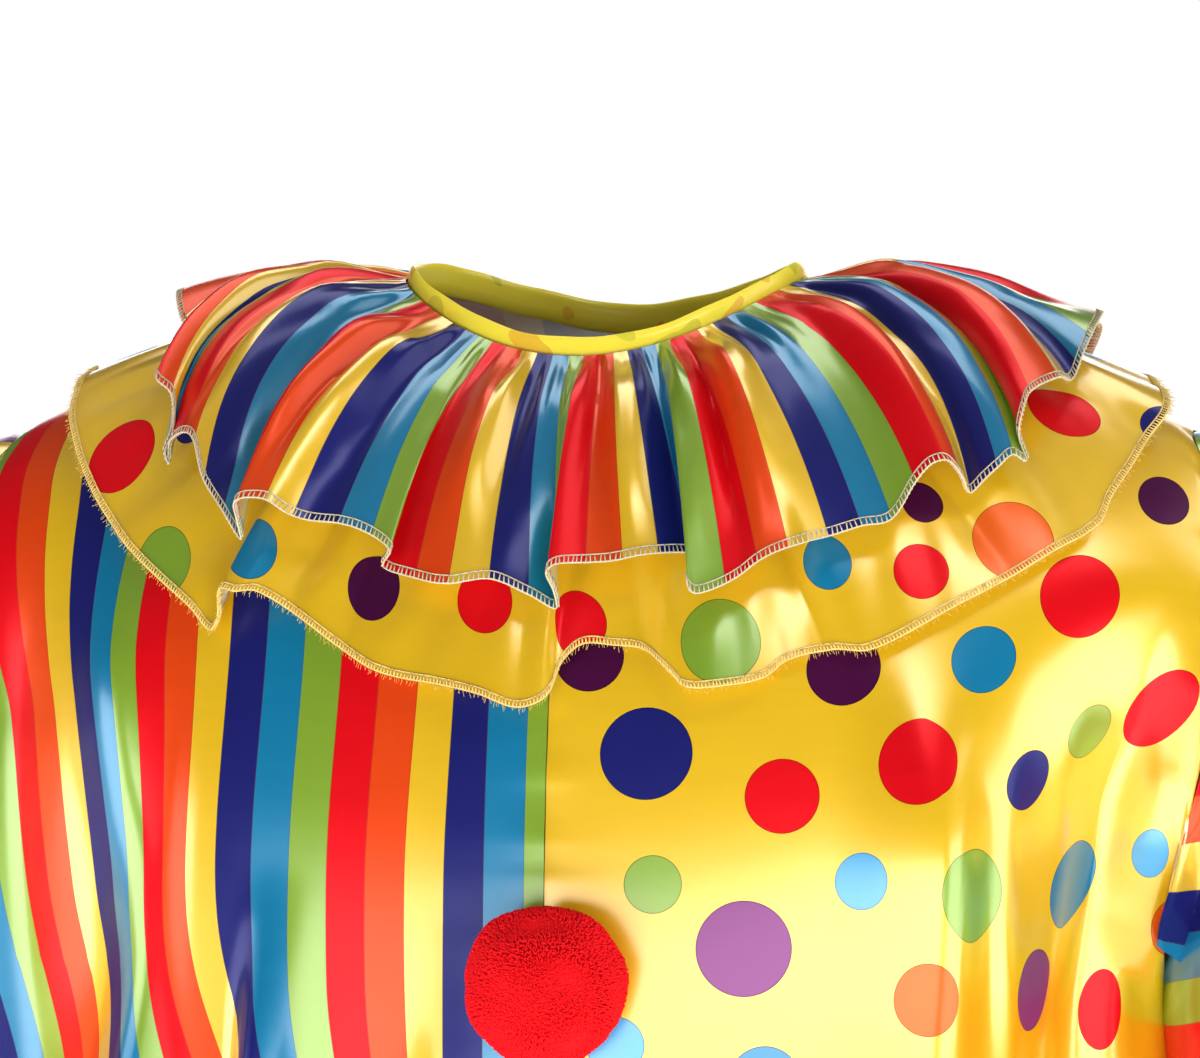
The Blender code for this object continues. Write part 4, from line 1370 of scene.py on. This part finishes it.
def stripes_group():
    """Printed stripes across U, six colours to a repeat, with a thin darker line where two inks meet."""
    tree, given, end = group("printed stripes", (CLOTH_SOCKET, ("Stripe Width", "Float", STRIPE)),
                             COLOUR_SOCKET)
    across = add_node(tree, "ShaderNodeSeparateXYZ", {0: given["Cloth"]})[0]
    count = math_node(tree, "DIVIDE", across, given["Stripe Width"])
    repeat = math_node(tree, "FRACT", math_node(tree, "DIVIDE", count, float(len(STRIPES))))
    stops = [(index / len(STRIPES), ink) for index, ink in enumerate(STRIPES)]
    inked = colour_ramp(tree, repeat, stops, "CONSTANT")
    edge = math_node(tree, "ABSOLUTE", math_node(tree, "SUBTRACT", math_node(tree, "FRACT", count), 0.5))
    line = math_node(tree, "MULTIPLY", math_node(tree, "GREATER_THAN", edge, INK_SEAM["from"]),
                     INK_SEAM["strength"])
    feed(tree, end, {"Color": mix_colour(tree, line, inked, SEAM_OF_INKS)})
    return tree


def dots_group(name, dots, repeat):
    """Printed dots on yellow, each with a thin darker rim, repeated over the cloth."""
    tree, given, end = group(name, (CLOTH_SOCKET,), COLOUR_SOCKET)
    place_in = add_node(tree, "ShaderNodeSeparateXYZ", {0: given["Cloth"]})
    colour = YELLOW
    for *middle, radius, ink in dots:
        off = [math_node(tree, "PINGPONG", math_node(tree, "SUBTRACT", place_in[axis], middle[axis] / 1000),
                         repeat[axis] / 2000) for axis in (0, 1)]
        square = math_node(tree, "MULTIPLY", off[1], off[1])
        distance = math_node(tree, "SQRT", math_node(tree, "MULTIPLY_ADD", off[0], off[0], square))
        dark = tuple(RIM_SHADE * part for part in ink[:3]) + (1,)
        for edge, shade in ((radius / 1000 + DOT_RIM, dark), (radius / 1000, ink)):
            colour = mix_colour(tree, math_node(tree, "LESS_THAN", distance, edge), colour, shade)
    feed(tree, end, {"Color": colour})
    return tree


def satin_group():
    """Satin's fine floats: a height for bump, a roughness and a faint unevenness of the dye."""
    tree, given, end = group("satin weave", (CLOTH_SOCKET, ("Roughness", "Float", 0.27)),
                             (("Height", "Float"), ("Roughness", "Float"), ("Shade", "Float")))
    fine, broad = (add_node(tree, "ShaderNodeMapping", {"Vector": given["Cloth"], "Scale": scale})[0]
                   for scale in ((5200.0, 700.0, 1.0), (0.7, 3.2, 1.0)))
    floats, cloud = noise(tree, fine, 1.0, 2.0), noise(tree, broad, 60.0, 4.0)
    uneven = math_node(tree, "SUBTRACT", cloud, 0.5)
    rough = math_node(tree, "MULTIPLY_ADD", uneven, 0.07, given["Roughness"])
    feed(tree, end, {
        "Height": floats,
        "Roughness": math_node(tree, "MULTIPLY_ADD", floats, 0.08, rough),
        "Shade": math_node(tree, "MULTIPLY_ADD", cloud, 0.08, 0.96),
    })
    return tree


def patches_group():
    """Yellow with faint orange and green patches, as cloth cut on the bias across a print shows; the yellow
    is painted lighter than the cloth's own yellow, a painted highlight.
    """
    tree, given, end = group("bias patches", (CLOTH_SOCKET,), COLOUR_SOCKET)
    cloud = noise(tree, given["Cloth"], 42.0, 1.0)
    # ground of the binding: its yellow painted lighter as a painted highlight
    colour = YELLOW_WITH_PAINTED_HIGHLIGHT
    for how, limit, ink in (("GREATER_THAN", 0.62, ORANGE), ("LESS_THAN", 0.38, GREEN)):
        patch = math_node(tree, "MULTIPLY", math_node(tree, how, cloud, limit), 0.35)
        colour = mix_colour(tree, patch, colour, ink)
    feed(tree, end, {"Color": colour})
    return tree


def new_material(name):
    """A material, its node tree and its shader."""
    material = bpy.data.materials.new(name)
    material.use_nodes = True
    return material, material.node_tree, material.node_tree.nodes["Principled BSDF"]


def satin(name, pattern, reverse=0.0, metal=0.30, gloss=2.0):
    """A glossy satin whose print comes from a pattern group; reverse is how much paler its wrong side is."""
    material, tree, shader = new_material(name)
    cloth = {"Cloth": add_node(tree, "ShaderNodeUVMap", {}, uv_map="cloth")[0]}
    weave = add_node(tree, "ShaderNodeGroup", cloth, node_tree=SATIN)
    colour = add_node(tree, "ShaderNodeGroup", cloth, node_tree=pattern)["Color"]
    if reverse:
        colour = mix_colour(tree, reverse, colour, PALE)
    shaded = mix_colour(tree, 1.0, colour, weave["Shade"], blend="MULTIPLY")
    split = add_node(tree, "ShaderNodeSeparateColor", {0: shaded})
    coat = math_node(tree, "MULTIPLY_ADD", split["Green"], gloss, 0.06)
    coat = math_node(tree, "MULTIPLY_ADD", split["Blue"], 0.55, coat)
    relief = {"Strength": 0.05, "Distance": 0.0002, "Height": weave["Height"]}
    feed(tree, shader, {
        "Base Color": shaded,
        "Roughness": weave["Roughness"],
        "Coat Weight": coat,
        "Coat IOR": 1.9,
        "Coat Roughness": 0.20,
        "Metallic": metal,
        "Specular IOR Level": 0.10,
        "Normal": add_node(tree, "ShaderNodeBump", relief)[0],
    })
    return material


def satin_sides(name, pattern, reverse):
    """A satin's right side and its paler wrong side."""
    return satin(name, pattern), satin(name + " reverse", pattern, reverse)


def yarn(name, colour, deep, fuzz=0.0):
    """Matte thread or yarn, a little uneven in its dye, with fuzz of its own colour."""
    material, tree, shader = new_material(name)
    cloud = noise(tree, add_node(tree, "ShaderNodeTexCoord", {})["Object"], 900.0, 2.0)
    feed(tree, shader, {
        "Base Color": mix_colour(tree, cloud, deep, colour),
        "Roughness": 0.75,
        "Specular IOR Level": 0.15,
        "Sheen Weight": fuzz,
        "Sheen Tint": colour,
    })
    return material


# ---------------------------------------------------------------- stage, camera and lights

CAMERA_TURN = 9.5
CAMERA_RISE = 1.5
CAMERA_DISTANCE = 2.6
CAMERA_TARGET = (-0.0028, 0.0005, -0.084)
CAMERA_LENS = 226.2
LIGHT_TARGET = (0.0, -0.1, -0.20)
FLOOR_HALF = 3.0

# Brightness of the studio that lights the suit, by height: 0 straight down, 0.5 level, 1 straight up.
STUDIO_SHADES = (
    (0.0, 0.75),
    (0.44, 0.60),
    (0.51, 0.22),
    (0.57, 0.06),
    (0.80, 0.07),
    (0.90, 0.22),
    (1.0, 0.26),
)
SOFTBOXES = table(
    "turn rise distance width height power",
    (2, -18, 2.0, 3.4, 1.50, 61),
    (-72, -10, 2.0, 1.1, 1.20, 17),
    (122, -22, 2.2, 2.2, 1.00, 34),
    (-125, -16, 2.2, 1.8, 1.00, 28),
    (40, 46, 2.0, 1.0, 0.35, 6),
    (185, 8, 2.4, 1.6, 1.60, 20),
    (185, 72, 2.0, 1.6, 1.00, 15),
    (74, -12, 2.0, 1.3, 1.50, 20),
    (98, 36, 2.0, 1.3, 1.00, 8),
)


def look_from(piece, turn, rise, distance, target):
    """Place and turn something so that it looks at a target from an angle round the suit."""
    turn, rise = math.radians(turn), math.radians(rise)
    back = np.array([math.sin(turn) * math.cos(rise), -math.cos(turn) * math.cos(rise), math.sin(rise)])
    piece.location = tuple(np.array(target) + back * distance)
    piece.rotation_euler = (math.pi / 2 - rise, 0.0, turn)


def add_camera():
    """The camera, at the front and a little to the wearer's left."""
    lens = bpy.data.cameras.new("camera")
    lens.lens = CAMERA_LENS
    lens.clip_start = 0.1
    camera = add_object("camera", lens)
    look_from(camera, CAMERA_TURN, CAMERA_RISE, CAMERA_DISTANCE, CAMERA_TARGET)
    bpy.context.scene.camera = camera


def add_softbox(name, turn, rise, distance, width, height, power):
    """A soft light that faces the chest."""
    light = bpy.data.lights.new(name, "AREA")
    light.shape = "RECTANGLE"
    light.size, light.size_y = width, height
    light.energy = power
    look_from(add_object(name, light), turn, rise, distance, LIGHT_TARGET)


def add_studio():
    """A pale floor, a white backdrop, a dim studio round the suit and soft lights."""
    world = bpy.data.worlds.new("studio")
    world.use_nodes = True
    tree = world.node_tree
    way = add_node(tree, "ShaderNodeTexCoord", {})["Generated"]
    up = add_node(tree, "ShaderNodeSeparateXYZ", {0: way})[2]
    stops = [(position, (value, value, value, 1)) for position, value in STUDIO_SHADES]
    shade = colour_ramp(tree, math_node(tree, "MULTIPLY_ADD", up, 0.5, 0.5), stops, "LINEAR")
    backdrop = add_node(tree, "ShaderNodeLightPath", {})["Is Camera Ray"]
    feed(tree, tree.nodes["Background"], {"Color": mix_colour(tree, backdrop, shade, (1, 1, 1, 1))})
    bpy.context.scene.world = world
    bpy.context.scene.view_settings.view_transform = "Standard"
    pale, tree, shader = new_material("pale floor")
    feed(tree, shader, {
        "Base Color": (0.8, 0.8, 0.8, 1),
        "Roughness": 0.6,
        "Emission Color": (1, 1, 1, 1),
        "Emission Strength": 0.6,
    })
    corners = np.array([(x * FLOOR_HALF, y * FLOOR_HALF, cad_box[0][2] - 0.001)
                        for x, y in ((-1, -1), (1, -1), (1, 1), (-1, 1))])
    new_mesh("floor", corners, np.array([(0, 1, 2, 3)]), pale)
    for number, box in enumerate(each_row(SOFTBOXES), 1):
        add_softbox("softbox " + str(number), **box)


# ---------------------------------------------------------------- the suit

THREADS = thread_tree()
SATIN = satin_group()
STRIPED = stripes_group()
DOTTED = dots_group("printed dots", BODY_DOTS, DOT_REPEAT)
TIER_DOTTED = dots_group("printed dots of the tier", TIER_DOTS, TIER_REPEAT)
PATCHES = patches_group()

striped_satin = satin_sides("striped satin", STRIPED, 0.55)
dotted_satin = satin_sides("dotted satin", DOTTED, 0.45)
tier_satin = satin_sides("tier satin", TIER_DOTTED, 0.45)
binding_satin = satin("binding satin", PATCHES, metal=0.0, gloss=0.25)
thread = yarn("overlock thread", (0.62, 0.57, 0.43, 1), (0.50, 0.40, 0.22, 1))
yellow_thread = yarn("yellow overlock thread", (0.72, 0.58, 0.24, 1), (0.66, 0.42, 0.07, 1))
frayed = yarn("frayed yarn", (0.74, 0.55, 0.16, 1), (0.66, 0.40, 0.05, 1))
red_yarn = yarn("pompom yarn", (0.88, 0.008, 0.014, 1), (0.74, 0.002, 0.006, 1), 0.6)


def hand_over(piece, slot_name, *nodes, **cut):
    """Hand a piece over: attach it to the root body and hide any solids that it stands for; its finish
    (slot_name) and its cut are not used.
    """
    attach(piece, "root")
    if nodes:
        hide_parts(*nodes)
    return piece


for name, side, face, slot_name, cloth in (("front_striped", RIGHT, FRONT, "striped_satin", striped_satin),
                                           ("front_dotted", LEFT, FRONT, "dotted_satin", dotted_satin),
                                           ("back_striped", RIGHT, BACK, "striped_satin", striped_satin),
                                           ("back_dotted", LEFT, BACK, "dotted_satin", dotted_satin)):
    hand_over(body_panel(name + "_cloth", side, face, *cloth), slot_name, name, flat=(0.34, 1.46), area=0.46,
              held="hung", rests_on=["wearer_shoulders"])

for name, side, slot_name, cloth, front in (
        ("sleeve_striped", LEFT, "striped_satin", striped_satin, "front_dotted_cloth"),
        ("sleeve_dotted", RIGHT, "dotted_satin", dotted_satin, "front_striped_cloth")):
    hand_over(sleeve(name + "_cloth", side, *cloth), slot_name, name, flat=(0.53, 0.58), area=0.24,
              held="hung", rests_on=[front])

bed = collar_bed()
lower_grid, lower_map, lower_place = lower_tier_grid(bed)
upper_grid, upper_map = upper_tier_grid(bed, lower_place)
lower_edge = overlock("lower_overlock", lower_grid, yellow_thread, step=0.0012, length=0.0021, radius=0.0003)
lower_edge.append(fray("lower_fray", lower_grid, frayed))
upper_edge = overlock("upper_overlock", upper_grid, thread, step=0.0017, length=0.0029, radius=0.00024)
for piece in lower_edge + upper_edge:
    hand_over(piece, "serging_thread")
for name, grid, cloth_map, slot_name, cloth, cut in (
        ("ruffle_lower", lower_grid, lower_map, "dotted_satin", tier_satin, {
            "flat": (1.12, 0.13),
            "held": "gathered",
            "rests_on": ["front_dotted_cloth", "front_striped_cloth"],
            "with_pieces": lower_edge,
        }),
        ("ruffle_upper", upper_grid, upper_map, "striped_satin", striped_satin, {
            "flat": (1.24, 0.10),
            "held": "gathered",
            "rests_on": ["ruffle_lower_cloth"],
            "with_pieces": upper_edge,
        })):
    tier = cloth_shell(name + "_cloth", grid, grid - outward(grid) * CLOTH, cloth_map, *cloth)
    lengths = [name + end for end in ("_right_back", "_right_front", "_left_front", "_left_back")]
    hand_over(tier, slot_name, *lengths, **cut)

band = neck_binding(binding_satin)
STITCH_LINE = {"out": 0.0011, "up": 0.14}
band_line = band_loop(np.linspace(-0.99, 0.99, 400) * math.pi, **STITCH_LINE)
band_out = unit(band_line * np.array([1, 1, 0]))
band_stitch = hand_over(stitches("neck_binding_stitches", band_line, band_out, thread), "serging_thread")
hand_over(band, "binding_satin", "neck_binding", flat=(0.43, 0.011), held="laid",
          rests_on=["ruffle_upper_cloth"], with_pieces=[band_stitch])

core, fibres = pompom(red_yarn)
hand_over(core, "pompom_yarn", "pompom")
hand_over(fibres, "pompom_yarn")

add_studio()
add_camera()
